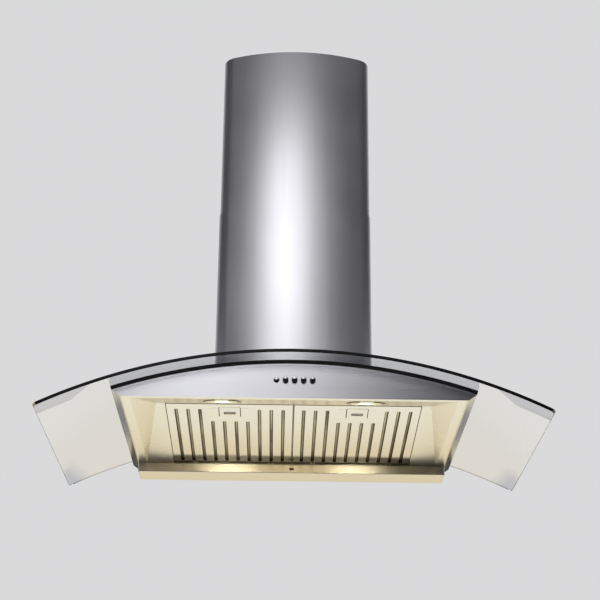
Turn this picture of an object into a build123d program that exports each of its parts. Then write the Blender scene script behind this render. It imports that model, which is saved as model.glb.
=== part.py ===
from build123d import *
import os
from math import atan, cos, hypot, sin, sqrt

# Curved glass wall hood. Millimetres, +X to the right, +Y into the wall, +Z up.
# The origin is the middle of the four wall bolts, in the plane of the wall.

# ---- driving dimensions -------------------------------------------------
SHEET = 1.0                 # steel sheet of the casing, pan, chimney and filters
FIT = 0.2                   # gap between fixed sheets that nest
PLAY = 0.3                  # gap between pieces that move past each other
RUN = 0.05                  # radial running clearance of a pin or shaft
SEAT = 0.02                 # radial gap of a pressed hub
BEYOND = 20.0               # how far a cut reaches past what it cuts
BOLT_HEIGHT = 270.0         # wall bolts above the top of the glass

GLASS_WIDTH = 900.0
GLASS_DEPTH = 500.0
GLASS_T = 6.0
GLASS_ARCH_R = 1005.0       # outer face of the arch
GLASS_FRONT_CORNER_R = 10.0
GLASS_REAR_CORNER_R = 8.0
GASKET_T = 8.0
GASKET_BAND = 12.0
NOTCH_BAND = 20.0
NOTCH_FIT = 1.5             # gap round the blower box in the glass
NOTCH_CORNER_R = 4.0
CLAMP_T = 2.0               # strips that press the glass down
CLAMP_WIDTH = 16.0
CLAMP_END = 35.0            # clamp past its screws
PINCH_SIDE = 12.0           # glass screws beside the blower box
PINCH_REAR = 60.0
PINCH_FRONT = 160.0
GROMMET_R = 3.8

BODY_TOP_HALF = 320.0       # half width of the body under the gasket
BODY_LOW_HALF = 305.0       # half width of the body along its lower edge
BODY_DROP = 78.0            # lower edge of the body below the top of the glass
FRONT_SETBACK = 38.3        # front of the body behind the front of the glass
RETURN_DEPTH = 12.0         # folded edge behind the front

RIM_SIDE = 17.5             # flat rim of the pan at each side
RIM_FRONT = 9.7
RECESS_DEPTH = 23.5         # highest line of the recess above the rim
RECESS_TOP_HALF = 250.0
STRIP_DEPTH = 95.0          # plan depth of the sloping lamp strip
RIM_SLOT_X = (60.0, 130.0, 200.0)   # drain slots over the trough, either side of the middle
RIM_SLOT_LENGTH = 40.0
RIM_SLOT_WIDTH = 6.0
PAN_SCREW_X = (80.0, 240.0)
PAN_SCREW_BACK = 8.0
PAN_BLOCK = 14.0
PAN_BLOCK_HEIGHT = 12.0

FILTER_WIDTH = 232.0
FILTER_T = 8.0
FILTER_GAP = 2.0            # between the two filters
FILTER_REAR = 11.0          # rear end of the filters, measured up the slope from the trough
SLOT_WIDTH = 6.6
SLOT_PITCH = 21.8
SLOT_COUNT = 10
SHORT_SLOTS = 4
SLOT_REAR_MARGIN = 2.2
LONG_SLOT_MARGIN = 25.0     # slots' front ends behind the front end of a filter
SHORT_SLOT_MARGIN = 81.0
BAFFLE_LIFT = 4.2
BAFFLE_REAR_MARGIN = 8.0
BAFFLE_CUT = 20.0           # inner slots shorter than the outer ones
FRAME_LIP = 7.0
HINGE_BACK = 5.5            # hinge pins behind the rear end of a filter
HINGE_PIN_R = 1.5
HINGE_SPREAD = 75.0         # hinge lugs either side of a filter's middle
LUG_R = 3.5
LUG_T = 4.0
EAR_T = 2.0
EAR_REACH = 3.5             # ears in front of the hinge pins
POCKET_LIFT = 14.0          # roof of the drip pocket above the rim
POCKET_COVER = 2.0          # roof over the rear end of the filters
FLANGE_H = 10.0             # upright edge round the filter opening
OPENING_MARGIN = 0.8        # gap round the pair of filters
OPENING_REAR = 0.5
RAIL_WIDTH = 18.0
RAIL_T = 1.2

LATCH_WIDTH = 38.0
LATCH_LENGTH = 43.0
LATCH_T = 1.5
LATCH_FRONT = 16.0          # latch plate behind the front end of the filter
LATCH_TRAVEL = 6.0
FINGER_WIDTH = 22.0
FINGER_LENGTH = 13.0
FINGER_BACK = 22.0          # middle of the finger slot behind the latch's front
CUP_DEPTH = 6.0
TONGUE_WIDTH = 12.0
TONGUE_T = 1.2
TONGUE_GAP = 1.0            # gap round the tongue and its leaf
LEAF_T = 0.5
LEAF_REACH = 3.5            # spring tip past the front end of the filter
LEAF_ROOT = 10.0            # length of the leaf on the tongue

TROUGH_DEPTH = 61.0
TROUGH_HEIGHT = 18.6
TROUGH_WALL_GAP = 0.5
DRAIN_WIDTH = 9.0
DRAIN_HEIGHT = 5.5
CLIP_T = 0.8
CLIP_WIDTH = 20.0
CLIP_FOOT = 18.0
CLIP_DROP = 12.0

CHIMNEY_WIDTH = 303.0       # upper, inner section
CHIMNEY_DEPTH = 257.0
CHIMNEY_BOW_R = 332.0
CHIMNEY_CORNER_R = 34.0
CHIMNEY_GAP = 0.5           # between the two sections
CHIMNEY_TOP = 757.0         # above the top of the glass
CHIMNEY_STEP = 400.0
CHIMNEY_OVERLAP = 65.0
CHIMNEY_FLANGE = 10.0
CHIMNEY_LIFT = 0.3          # foot of the chimney above the glass
CHIMNEY_NOTCH = 45.0        # cut in the rear flanges for the top bracket
BRACKET_DROP = 12.0         # top bracket below the top of the chimney
BRACKET_HEIGHT = 24.0
BRACKET_T = 2.0
BRACKET_EAR = 22.0
BRACKET_BOLT_HALF = 100.0
SIDE_GRIP = 4.0             # chimney screws past the sheet
UPPER_SCREW_BACK = 12.0
TAB_BACK = 110.0            # side screws of the lower chimney in front of the wall
TAB_RISE = 28.0             # and above the top of the glass
TAB_WIDTH = 20.0
TAB_T = 1.5
TAB_LIFT = 6.0
TAB_FOOT = 7.0
TAB_HEIGHT = 12.0

BOX_HALF = 130.0            # blower box
BOX_DEPTH = 208.0
BOX_HEIGHT = 205.0          # roof of the blower box above the top of the glass
BOX_CORNER_R = 6.0
AIR_HALF = 115.0
AIR_MARGIN = 15.0
PLATE_T = 3.0               # wall bracket
PLATE_HALF = 136.0
PLATE_RISE = 75.0
PLATE_OVERLAP = 10.0        # wall bracket behind the blower box
PLATE_CORNER_R = 8.0
PLATE_SCREW_X = 100.0
PLATE_SCREW_TIP = 1.2       # tips of its screws in front of the wall
BOLT_SPACING_X = 220.0
BOLT_SPACING_Z = 100.0
BOLT_HOLE_R = 4.2

SCROLL_HALF = 58.0          # half width of the blower housing
SCROLL_WALL = 2.0
SCROLL_R = 82.0             # smallest radius of the scroll
SCROLL_STEP = 8.0           # radius gained every quarter turn
SCROLL_AXIS_DROP = 123.0    # blower axis below the roof of the blower box
SCROLL_REAR_GAP = 6.0
OUTLET_THROAT = 86.0
INLET_R = 52.0
INLET_DEPTH = 5.0
INLET_FLANGE = 8.0
INLET_LIP = 2.0
WHEEL_R = 68.0
WHEEL_INNER_R = 59.0
WHEEL_HALF = 50.0
WHEEL_RING = 2.0            # thickness of the wheel's disc and end rings
HUB_R = 11.0
HUB_HALF = 9.0
BLADE_COUNT = 32
BLADE_T = 1.2
BLADE_LEAN = 25.0
SHAFT_R = 4.0
SHAFT_END = 12.0
MOTOR_R = 38.0
MOTOR_LENGTH = 58.0
MOTOR_GAP = 4.0
MOTOR_BOSS = 3.0            # bearing bosses past the motor's ends
MOTOR_BOSS_R = 12.0
STATOR_MARGIN = 16.0
MOTOR_CLAMP = 10.0          # width of the motor's clamp ring
MOTOR_ARM = 34.0            # reach of its arms past the motor
MOTOR_ARM_T = 3.0
CAPACITOR_R = 15.0
CAPACITOR_LENGTH = 50.0
CAPACITOR_X = 100.0
CAPACITOR_RISE = 40.0
TERMINAL_PITCH = 12.0
TERMINAL_HEIGHT = 8.0
TERMINAL_WIDTH = 6.0
TERMINAL_T = 0.8

COLLAR_R = 75.0             # outside radius of the duct collar
COLLAR_WALL = 1.2
COLLAR_Y = -104.0
COLLAR_HEIGHT = 55.0
ADAPTER_HEIGHT = 42.0
ADAPTER_FLANGE = 10.0
ADAPTER_T = 1.5
ADAPTER_CORNER_R = 8.0
LEDGE_REACH = 4.0           # ledge that the damper flaps close on
LEDGE_T = 1.2
LEDGE_GAP = 7.0
FLAP_T = 1.2
FLAP_RISE = 15.0            # flap hinges above the foot of the collar
FLAP_SPLIT = 3.5            # each flap hinge from the middle of the collar
FLAP_PIN_R = 1.5
FLAP_MARGIN = 0.6

TERMINAL_BOX_X = -106.0     # supply terminal box on the blower box
TERMINAL_BOX_Y = -85.0
TERMINAL_BOX_HALF = 21.0
TERMINAL_BOX_FRONT = 50.0
TERMINAL_BOX_REAR = 25.0
TERMINAL_BOX_HEIGHT = 34.0
TERMINAL_BOX_WALL = 2.0
TERMINAL_BOX_CORNER_R = 3.0
GLAND_BORE_R = 4.0
GLAND_THREAD_R = 6.8
GLAND_NUT_R = 11.0
GLAND_CAP_R = 8.0
GLAND_THREAD = 6.0
GLAND_NUT = 6.0
GLAND_CAP = 9.0

LAMP_X = 128.0
LAMP_BACK = 45.0            # lamp middle behind the front edge of the recess, in plan
LAMP_R = 35.0
LAMP_HOLE_R = 31.0
LAMP_RING_T = 2.0
LAMP_NECK = 5.0
LAMP_NECK_T = 1.2
LENS_R = 28.5
LENS_T = 3.0
LENS_EDGE_R = 1.2
LAMP_HEIGHT = 24.0
EMITTER_R = 9.0
EMITTER_T = 3.0
DRIVER_HALF = 45.0          # lamp power supply
DRIVER_DEPTH = 36.0
DRIVER_HEIGHT = 20.0
DRIVER_BACK = 42.0          # behind the front of the body
DRIVER_EDGE = 3.0

BUTTON_COUNT = 5
BUTTON_PITCH = 15.85
BUTTON_DROP = 44.5          # buttons below the top of the glass
BUTTON_R = 5.0
BUTTON_OUT = 9.0
BUTTON_TRAVEL = 5.0
BUTTON_NECK = 3.0           # button head behind the front plate
BUTTON_STEM_R = 3.0
BUTTON_STEM = 20.0
SWITCH_HEIGHT = 22.0
SWITCH_DEPTH = 31.0
SWITCH_MARGIN = 4.0
SWITCH_COUNTERBORE = 9.0
SWITCH_EDGE_R = 2.0

SCREW_R = 2.0
SCREW_HEAD_R = 4.0
SCREW_HEAD = 1.4
SCREW_PLAY = 0.1
SCREW_BITE = 8.0            # length of a screw past the sheet that it holds
DOME_HEAD = 2.5             # height of a glass screw's head

# ---- levels and planes that follow --------------------------------------
GLASS_TOP = -BOLT_HEIGHT
ARCH_AXIS_Z = GLASS_TOP - GLASS_ARCH_R
GLASS_UNDER_R = GLASS_ARCH_R - GLASS_T
BODY_R = GLASS_UNDER_R - GASKET_T
RIM_Z = GLASS_TOP - BODY_DROP
FRONT_Y = FRONT_SETBACK - GLASS_DEPTH
INSIDE_Y = FRONT_Y + SHEET
BOX_TOP = GLASS_TOP + BOX_HEIGHT
BOX_BACK = -PLATE_T
BOX_FRONT = BOX_BACK - BOX_DEPTH
RECESS_HALF = BODY_LOW_HALF - RIM_SIDE
RECESS_FRONT_Y = FRONT_Y + RIM_FRONT
RIDGE_Y = RECESS_FRONT_Y + STRIP_DEPTH
RIDGE_Z = RIM_Z + RECESS_DEPTH
RECESS_REAR_Y = -TROUGH_DEPTH
FILTER_SLOPE = atan(RECESS_DEPTH / (RECESS_REAR_Y - RIDGE_Y))
STRIP_SLOPE = atan(RECESS_DEPTH / STRIP_DEPTH)
# local x is right, local y runs down the slope to the rear, local z is up into the hood
FILTER_PLANE = Plane(origin=(0, RECESS_REAR_Y, RIM_Z), x_dir=(1, 0, 0),
                     z_dir=(0, sin(FILTER_SLOPE), cos(FILTER_SLOPE)))
FILTER_FRONT = hypot(RECESS_DEPTH, RECESS_REAR_Y - RIDGE_Y)
FILTER_X = (FILTER_GAP + FILTER_WIDTH) / 2
OPENING_HALF = FILTER_GAP / 2 + FILTER_WIDTH + OPENING_MARGIN
OPENING_FRONT = FILTER_FRONT + OPENING_MARGIN
BLOWER_Y = BOX_BACK - SHEET - SCROLL_REAR_GAP - SCROLL_R - 3 * SCROLL_STEP
BLOWER_Z = BOX_TOP - SCROLL_AXIS_DROP
FLAP_Z = BOX_TOP + ADAPTER_HEIGHT + FLAP_RISE
CHIMNEY_HALF = CHIMNEY_WIDTH / 2
LOWER_GROWTH = SHEET + CHIMNEY_GAP
BUTTON_Z = GLASS_TOP - BUTTON_DROP
HINGE_T = FILTER_REAR - HINGE_BACK
HINGE_LIFT = FILTER_T / 2
LATCH_FRONT_T = FILTER_FRONT - LATCH_FRONT
FINGER_T = LATCH_FRONT_T - FINGER_BACK
BAR_LIFT = SHEET + PLAY
LEAF_LIFT = BAR_LIFT + TONGUE_T
PINCH_X = BOX_HALF + PINCH_SIDE
PINCH_XY = [(side * PINCH_X, -back) for side in (-1, 1) for back in (PINCH_REAR, PINCH_FRONT)]


# ---- helpers -------------------------------------------------------------
def block(x0, x1, y0, y1, z0, z1):
    """A box between two corners."""
    return Pos((x0 + x1) / 2, (y0 + y1) / 2, (z0 + z1) / 2) * Box(x1 - x0, y1 - y0, z1 - z0)


def sloped(x0, x1, t0, t1, w0, w1):
    """A box on the filter slope: t measured up the slope from the rear, w above the slope."""
    return FILTER_PLANE * block(x0, x1, -t1, -t0, w0, w1)


def rod(start, end, radius):
    """A round bar from one point to another."""
    axis = Vector(*end) - Vector(*start)
    seat = Plane(origin=start, z_dir=axis)
    return seat * Cylinder(radius, axis.length, align=(Align.CENTER, Align.CENTER, Align.MIN))


def tube(start, end, outer, inner):
    """A round pipe from one point to another."""
    return rod(start, end, outer) - rod(start, end, inner)


def along_y(section, back, front):
    """A section drawn in X and Z, drawn out from a back plane to a front plane."""
    return extrude(Plane.XZ.offset(-back) * section, amount=back - front)


def upright(plan, low, high):
    """A plan outline raised between two heights."""
    return extrude(Pos(0, 0, low) * plan, amount=high - low)


def arch_z(radius, x=0.0):
    """Height of an arch of this radius, x to one side of the middle."""
    return ARCH_AXIS_Z + sqrt(radius**2 - x**2)


def arch_fill(radius):
    """Everything under an arch of this radius."""
    return along_y(Pos(0, ARCH_AXIS_Z) * Circle(radius), BEYOND, -GLASS_DEPTH - BEYOND)


def arch_layer(outer, inner, plan):
    """A curved sheet between two arch radii, cut to a plan outline."""
    column = upright(plan, arch_z(inner, GLASS_WIDTH / 2) - BEYOND, arch_z(outer) + BEYOND)
    return (column & arch_fill(outer)) - arch_fill(inner)


def plan_rect(x0, x1, y0, y1):
    """A rectangle in plan."""
    return Pos((x0 + x1) / 2, (y0 + y1) / 2) * Rectangle(x1 - x0, y1 - y0)


def mirrored(shape):
    """The same piece on the other side of the middle."""
    return mirror(shape, about=Plane.YZ)


def from_faces(loops):
    """A solid with flat faces, each given by its corners."""
    faces = [Face(Wire.make_polygon([Vector(*p) for p in loop], close=True)) for loop in loops]
    return Part(Solid(Shell(faces)).wrapped)


# ---- glass and gasket ----------------------------------------------------
def notch_plan(margin):
    """The notch in the back of the glass that the blower box stands in."""
    plan = plan_rect(-BOX_HALF - margin, BOX_HALF + margin, BOX_FRONT - margin, BEYOND)
    return fillet(plan.vertices().group_by(Axis.Y)[0], NOTCH_CORNER_R + margin)


def grommet_holes():
    """Holes for the glass screws and their sleeves, in plan."""
    return [Pos(x, y) * Circle(GROMMET_R + FIT) for x, y in PINCH_XY]


def glass_canopy():
    plan = plan_rect(-GLASS_WIDTH / 2, GLASS_WIDTH / 2, -GLASS_DEPTH, 0)
    plan = fillet(plan.vertices().group_by(Axis.Y)[0], GLASS_FRONT_CORNER_R)
    plan = fillet(plan.vertices().group_by(Axis.Y)[-1], GLASS_REAR_CORNER_R)
    plan -= notch_plan(NOTCH_FIT)
    for hole in grommet_holes():
        plan -= hole
    return arch_layer(GLASS_ARCH_R, GLASS_UNDER_R, plan)


def glass_gasket():
    """A rubber band round the top of the body and round the notch."""
    top = plan_rect(-BODY_TOP_HALF, BODY_TOP_HALF, FRONT_Y, 0)
    inner = BODY_TOP_HALF - GASKET_BAND
    band = top - plan_rect(-inner, inner, FRONT_Y + GASKET_BAND, BEYOND)
    band += notch_plan(NOTCH_BAND) & top
    band -= notch_plan(NOTCH_FIT)
    for hole in grommet_holes():
        band -= hole
    return arch_layer(GLASS_UNDER_R, BODY_R, band)


def glass_clamps():
    """Two steel strips that press the glass on to the body, inside the chimney."""
    half = CLAMP_WIDTH / 2
    plan = plan_rect(PINCH_X - half, PINCH_X + half, -PINCH_FRONT - CLAMP_END, -PINCH_REAR + CLAMP_END)
    for back in (PINCH_REAR, PINCH_FRONT):
        plan -= Pos(PINCH_X, -back) * Circle(SCREW_R + PLAY)
    strip = arch_layer(GLASS_ARCH_R + CLAMP_T, GLASS_ARCH_R, plan)
    return [mirrored(strip), strip]


def glass_screws():
    screws = []
    for x, y in PINCH_XY:
        seat = arch_z(GLASS_ARCH_R + CLAMP_T, abs(x) - SCREW_HEAD_R)
        tip = arch_z(BODY_R, x) - SCREW_BITE
        shank = rod((x, y, tip), (x, y, seat), SCREW_R)
        screws.append(shank + rod((x, y, seat), (x, y, seat + DOME_HEAD), SCREW_HEAD_R))
    return screws


def glass_grommets():
    """Rubber sleeves that keep the screws off the glass."""
    ring = Circle(GROMMET_R) - Circle(SCREW_R + FIT)
    return [arch_layer(GLASS_ARCH_R, GLASS_UNDER_R, Pos(x, y) * ring) for x, y in PINCH_XY]


# ---- body ------------------------------------------------------------------
def side_x(z, inset):
    """Half width of the slanted body at a height, pulled in by a sheet's thickness."""
    lean = (BODY_TOP_HALF - BODY_LOW_HALF) / (arch_z(BODY_R, BODY_TOP_HALF) - RIM_Z)
    return BODY_LOW_HALF + (z - RIM_Z) * lean - inset * hypot(1, lean)


def body_section(inset, floor):
    """Cross-section of the body: slanted sides under the arch."""
    roof = GLASS_TOP
    low, high = side_x(floor, inset), side_x(roof, inset)
    sides = Polyline((-low, floor), (low, floor), (high, roof), (-high, roof), close=True)
    return make_face(sides) & Pos(0, ARCH_AXIS_Z) * Circle(BODY_R - inset)


def body_casing():
    shell = along_y(body_section(0, RIM_Z), 0, INSIDE_Y)
    shell -= along_y(body_section(SHEET, RIM_Z - BEYOND), -SHEET, INSIDE_Y - BEYOND)
    shell -= block(-AIR_HALF, AIR_HALF, BOX_FRONT + AIR_MARGIN, BOX_BACK - AIR_MARGIN, RIDGE_Z, GLASS_TOP)
    for x, y in PINCH_XY:
        shell -= rod((x, y, RIDGE_Z), (x, y, GLASS_TOP), SCREW_R + SCREW_PLAY)
    return shell


def button_xs():
    """Places of the buttons, from the left."""
    return [(i - (BUTTON_COUNT - 1) / 2) * BUTTON_PITCH for i in range(BUTTON_COUNT)]


def front_fascia():
    """The front plate, with an edge folded back inside the casing."""
    plate = along_y(body_section(0, RIM_Z), INSIDE_Y, FRONT_Y)
    back = INSIDE_Y + RETURN_DEPTH
    fold = along_y(body_section(SHEET + FIT, RIM_Z), back, INSIDE_Y)
    fold -= along_y(body_section(2 * SHEET + FIT, RIM_Z - BEYOND), back + BEYOND, INSIDE_Y - BEYOND)
    fold -= block(-BODY_TOP_HALF, BODY_TOP_HALF, FRONT_Y, back + BEYOND, RIM_Z - BEYOND, RIM_Z + 2 * SHEET)
    plate += fold
    for x in button_xs():
        plate -= rod((x, FRONT_Y - BEYOND, BUTTON_Z), (x, INSIDE_Y + BEYOND, BUTTON_Z), BUTTON_R + PLAY)
    return plate


def recess(lift):
    """The hip-shaped hollow under the pan, with its flat lower side on the rim."""
    low, high = RIM_Z + lift, RIDGE_Z + lift
    front_l, front_r = (-RECESS_HALF, RECESS_FRONT_Y, low), (RECESS_HALF, RECESS_FRONT_Y, low)
    ridge_l, ridge_r = (-RECESS_TOP_HALF, RIDGE_Y, high), (RECESS_TOP_HALF, RIDGE_Y, high)
    rear_l, rear_r = (-RECESS_HALF, RECESS_REAR_Y, low), (RECESS_HALF, RECESS_REAR_Y, low)
    return from_faces([
        (front_l, front_r, ridge_r, ridge_l),
        (ridge_l, ridge_r, rear_r, rear_l),
        (front_l, ridge_l, rear_l),
        (front_r, rear_r, ridge_r),
        (front_l, rear_l, rear_r, front_r),
    ])


def lamp_plane(side):
    """Lamp seat on the sloping strip: local z goes up into the hood."""
    rise = LAMP_BACK * RECESS_DEPTH / STRIP_DEPTH
    middle = (side * LAMP_X, RECESS_FRONT_Y + LAMP_BACK, RIM_Z + rise)
    return Plane(origin=middle, x_dir=(1, 0, 0), z_dir=(0, -sin(STRIP_SLOPE), cos(STRIP_SLOPE)))


def hinge_xs():
    """Middle of every filter hinge lug."""
    return [side * FILTER_X + off * HINGE_SPREAD for side in (-1, 1) for off in (-1, 1)]


def underside_pan():
    """Rim, recess, lamp strip and the upright edge round the filter opening."""
    rim = along_y(body_section(SHEET + FIT, RIM_Z), -SHEET - FIT, INSIDE_Y)
    pan = rim & block(-BODY_TOP_HALF, BODY_TOP_HALF, -GLASS_DEPTH, 0, RIM_Z, RIM_Z + SHEET)
    pan += recess(SHEET)
    pan -= recess(0)
    pan -= sloped(-OPENING_HALF, OPENING_HALF, OPENING_REAR, OPENING_FRONT, -BEYOND, BEYOND)
    outside = OPENING_HALF + SHEET
    edge = sloped(-outside, outside, OPENING_REAR, OPENING_FRONT + SHEET, FIT, FLANGE_H)
    edge -= sloped(-OPENING_HALF, OPENING_HALF, OPENING_REAR - BEYOND, OPENING_FRONT, -BEYOND, BEYOND)
    pan += edge + drip_pocket()
    for x in hinge_xs():
        for side in (-1, 1):
            inner = x + side * (LUG_T / 2 + PLAY)
            low, high = sorted((inner, inner + side * EAR_T))
            ear = sloped(low, high, OPENING_REAR, HINGE_T + EAR_REACH, SHEET, POCKET_LIFT + SHEET)
            pan += ear & block(low, high, RIDGE_Y, RECESS_REAR_Y, RIM_Z, RIM_Z + POCKET_LIFT + SHEET / 2)
        pan -= hinge_rod(x, LUG_T / 2 + PLAY + EAR_T + SHEET, HINGE_PIN_R + RUN)
    half = TONGUE_WIDTH / 2 + TONGUE_GAP
    for side in (-1, 1):
        middle = side * FILTER_X
        pan -= sloped(middle - half, middle + half, FILTER_FRONT, OPENING_FRONT + 2 * SHEET,
                      SHEET + FIT, LEAF_LIFT + LEAF_T + TONGUE_GAP)
        pan -= lamp_plane(side) * Cylinder(LAMP_HOLE_R, BEYOND)
        for x in RIM_SLOT_X:
            low, high = sorted((side * (x - RIM_SLOT_LENGTH / 2), side * (x + RIM_SLOT_LENGTH / 2)))
            front = RECESS_REAR_Y + RIM_SLOT_WIDTH
            pan -= block(low, high, front, front + RIM_SLOT_WIDTH, RIM_Z - SHEET, RIM_Z + 2 * SHEET)
    for x, y in rear_screw_xy():
        pan -= rod((x, y, RIM_Z - SHEET), (x, y, RIM_Z + 2 * SHEET), SCREW_R + SCREW_PLAY)
    return pan


def drip_pocket():
    """The raised pocket over the hinges: a rear wall, a roof and two ends."""
    outside = OPENING_HALF + SHEET
    wall_y = RECESS_REAR_Y - SHEET
    front = RECESS_REAR_Y - FILTER_REAR - POCKET_COVER
    roof = RIM_Z + POCKET_LIFT
    pocket = block(-outside, outside, wall_y, RECESS_REAR_Y, RIM_Z, roof)
    pocket += block(-outside, outside, front, RECESS_REAR_Y, roof, roof + SHEET)
    for x in (-outside, OPENING_HALF):
        pocket += block(x, x + SHEET, front, wall_y, RIM_Z + SHEET, roof)
    return pocket


def rear_screw_xy():
    """Screws through the rear of the pan, hidden over the trough."""
    return [(x, -PAN_SCREW_BACK) for x in sorted(side * x for side in (-1, 1) for x in PAN_SCREW_X)]


def pan_screws():
    """Screws up through the pan into the blocks on the casing."""
    top = RIM_Z + SHEET + SCREW_BITE
    return [rod((x, y, RIM_Z - SCREW_HEAD), (x, y, RIM_Z), SCREW_HEAD_R)
            + rod((x, y, RIM_Z), (x, y, top), SCREW_R) for x, y in rear_screw_xy()]


def pan_blocks():
    """Threaded blocks on the back of the casing that take the pan screws."""
    low, half = RIM_Z + SHEET, PAN_BLOCK / 2
    high = low + PAN_BLOCK_HEIGHT
    return [block(x - half, x + half, y - half, -SHEET, low, high)
            - rod((x, y, low), (x, y, high - SHEET), SCREW_R + SCREW_PLAY) for x, y in rear_screw_xy()]


def filter_rail():
    """A flat bar over the joint between the two filters."""
    half, low = RAIL_WIDTH / 2, FLANGE_H - SHEET
    return sloped(-half, half, 2 * SHEET, OPENING_FRONT, low, low + RAIL_T)


# ---- filters ---------------------------------------------------------------
def hinge_rod(x, reach, radius):
    """A bar along a filter's hinge line."""
    y = RECESS_REAR_Y - HINGE_T * cos(FILTER_SLOPE) + HINGE_LIFT * sin(FILTER_SLOPE)
    z = RIM_Z + HINGE_T * sin(FILTER_SLOPE) + HINGE_LIFT * cos(FILTER_SLOPE)
    return rod((x - reach, y, z), (x + reach, y, z), radius)


def slot_set(middle, low, high, rear, cut=0.0):
    """A filter's long and short slots, as bars to cut away, from a rear margin."""
    first_short = (SLOT_COUNT - SHORT_SLOTS) // 2
    bars = []
    for i in range(SLOT_COUNT):
        x = middle + (i - (SLOT_COUNT - 1) / 2) * SLOT_PITCH
        short = first_short <= i < first_short + SHORT_SLOTS
        front = FILTER_FRONT - (SHORT_SLOT_MARGIN if short else LONG_SLOT_MARGIN) - cut
        bars.append(sloped(x - SLOT_WIDTH / 2, x + SLOT_WIDTH / 2, FILTER_REAR + rear, front, low, high))
    return bars


def filter_face(side):
    """The slotted lower sheet, with a window for the latch's finger cup."""
    x = side * FILTER_X
    half = FILTER_WIDTH / 2
    face = sloped(x - half, x + half, FILTER_REAR, FILTER_FRONT, 0, SHEET)
    for bar in slot_set(x, -SHEET, 2 * SHEET, SLOT_REAR_MARGIN):
        face -= bar
    half = FINGER_WIDTH / 2 + SHEET + PLAY
    front = FINGER_T + FINGER_LENGTH / 2 + SHEET + PLAY
    rear = FINGER_T - FINGER_LENGTH / 2 - SHEET - PLAY - LATCH_TRAVEL
    return face - sloped(x - half, x + half, rear, front, -SHEET, 2 * SHEET)


def filter_frame(side):
    """The edge channel of a filter, with its two hinge lugs and pins."""
    x = side * FILTER_X
    half = FILTER_WIDTH / 2
    inner, lip = half - SHEET, half - FRAME_LIP
    frame = sloped(x - half, x + half, FILTER_REAR, FILTER_FRONT, SHEET, FILTER_T)
    frame -= sloped(x - inner, x + inner, FILTER_REAR + SHEET, FILTER_FRONT - SHEET, 0, FILTER_T - SHEET)
    frame -= sloped(x - lip, x + lip, FILTER_REAR + FRAME_LIP, FILTER_FRONT - FRAME_LIP, 0, FILTER_T + SHEET)
    half = TONGUE_WIDTH / 2 + TONGUE_GAP
    frame -= sloped(x - half, x + half, FILTER_FRONT - 2 * SHEET, FILTER_FRONT + SHEET,
                    SHEET + FIT, LEAF_LIFT + LEAF_T + TONGUE_GAP)
    for off in (-1, 1):
        lug_x = x + off * HINGE_SPREAD
        lug = sloped(lug_x - LUG_T / 2, lug_x + LUG_T / 2, HINGE_T, FILTER_REAR, SHEET, FILTER_T - SHEET / 2)
        lug += hinge_rod(lug_x, LUG_T / 2, LUG_R)
        frame += lug + hinge_rod(lug_x, LUG_T / 2 + PLAY + EAR_T, HINGE_PIN_R)
    return frame


def filter_baffle(side):
    """The inner sheet, its slots set half a pitch to one side of the lower ones."""
    x = side * FILTER_X
    half = FILTER_WIDTH / 2 - SHEET - FIT
    rear, front = FILTER_REAR + SHEET + FIT, FILTER_FRONT - SHEET - FIT
    baffle = sloped(x - half, x + half, rear, front, BAFFLE_LIFT, BAFFLE_LIFT + SHEET)
    baffle += sloped(x - half, x - half + SHEET, rear, front, SHEET, BAFFLE_LIFT)
    baffle += sloped(x + half - SHEET, x + half, rear, front, SHEET, BAFFLE_LIFT)
    for bar in slot_set(x + SLOT_PITCH / 2, SHEET, FILTER_T, BAFFLE_REAR_MARGIN, BAFFLE_CUT)[:-1]:
        baffle -= bar
    half = FINGER_WIDTH / 2 + 2 * SHEET + PLAY
    front = FINGER_T + FINGER_LENGTH / 2 + 2 * SHEET
    rear = FINGER_T - FINGER_LENGTH / 2 - 2 * SHEET - LATCH_TRAVEL
    return baffle - sloped(x - half, x + half, rear, front, 0, FILTER_T)


def filter_latch(side):
    """The sliding plate with its finger cup and the bar that carries the spring."""
    x = side * FILTER_X
    plate = sloped(x - LATCH_WIDTH / 2, x + LATCH_WIDTH / 2, LATCH_FRONT_T - LATCH_LENGTH, LATCH_FRONT_T,
                   -PLAY - LATCH_T, -PLAY)
    half_w, half_l = FINGER_WIDTH / 2, FINGER_LENGTH / 2
    rear, front = FINGER_T - half_l, FINGER_T + half_l
    cup = sloped(x - half_w - SHEET, x + half_w + SHEET, rear - SHEET, front + SHEET, -PLAY, CUP_DEPTH)
    hollow = sloped(x - half_w, x + half_w, rear, front, -BEYOND, CUP_DEPTH - SHEET)
    bar = sloped(x - TONGUE_WIDTH / 2, x + TONGUE_WIDTH / 2, front + SHEET / 2,
                 FILTER_FRONT - LATCH_TRAVEL, BAR_LIFT, LEAF_LIFT)
    return plate + cup - hollow + bar


def latch_spring(side):
    """The leaf that snaps through the upright edge of the pan."""
    x = side * FILTER_X
    return sloped(x - TONGUE_WIDTH / 2, x + TONGUE_WIDTH / 2, FILTER_FRONT - LATCH_TRAVEL - LEAF_ROOT,
                  FILTER_FRONT + LEAF_REACH, LEAF_LIFT, LEAF_LIFT + LEAF_T)


# ---- grease trough -----------------------------------------------------------
def grease_trough():
    top, low = RIM_Z - PLAY, RIM_Z - TROUGH_HEIGHT
    floor = low + SHEET
    trough = block(-BODY_LOW_HALF, BODY_LOW_HALF, -TROUGH_DEPTH, -TROUGH_WALL_GAP, low, top)
    trough -= block(-BODY_LOW_HALF + SHEET, BODY_LOW_HALF - SHEET, -TROUGH_DEPTH + SHEET,
                    -TROUGH_WALL_GAP - SHEET, floor, top + BEYOND)
    return trough - block(-DRAIN_WIDTH / 2, DRAIN_WIDTH / 2, -TROUGH_DEPTH - SHEET,
                          -TROUGH_DEPTH + 2 * SHEET, floor, floor + DRAIN_HEIGHT)


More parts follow.
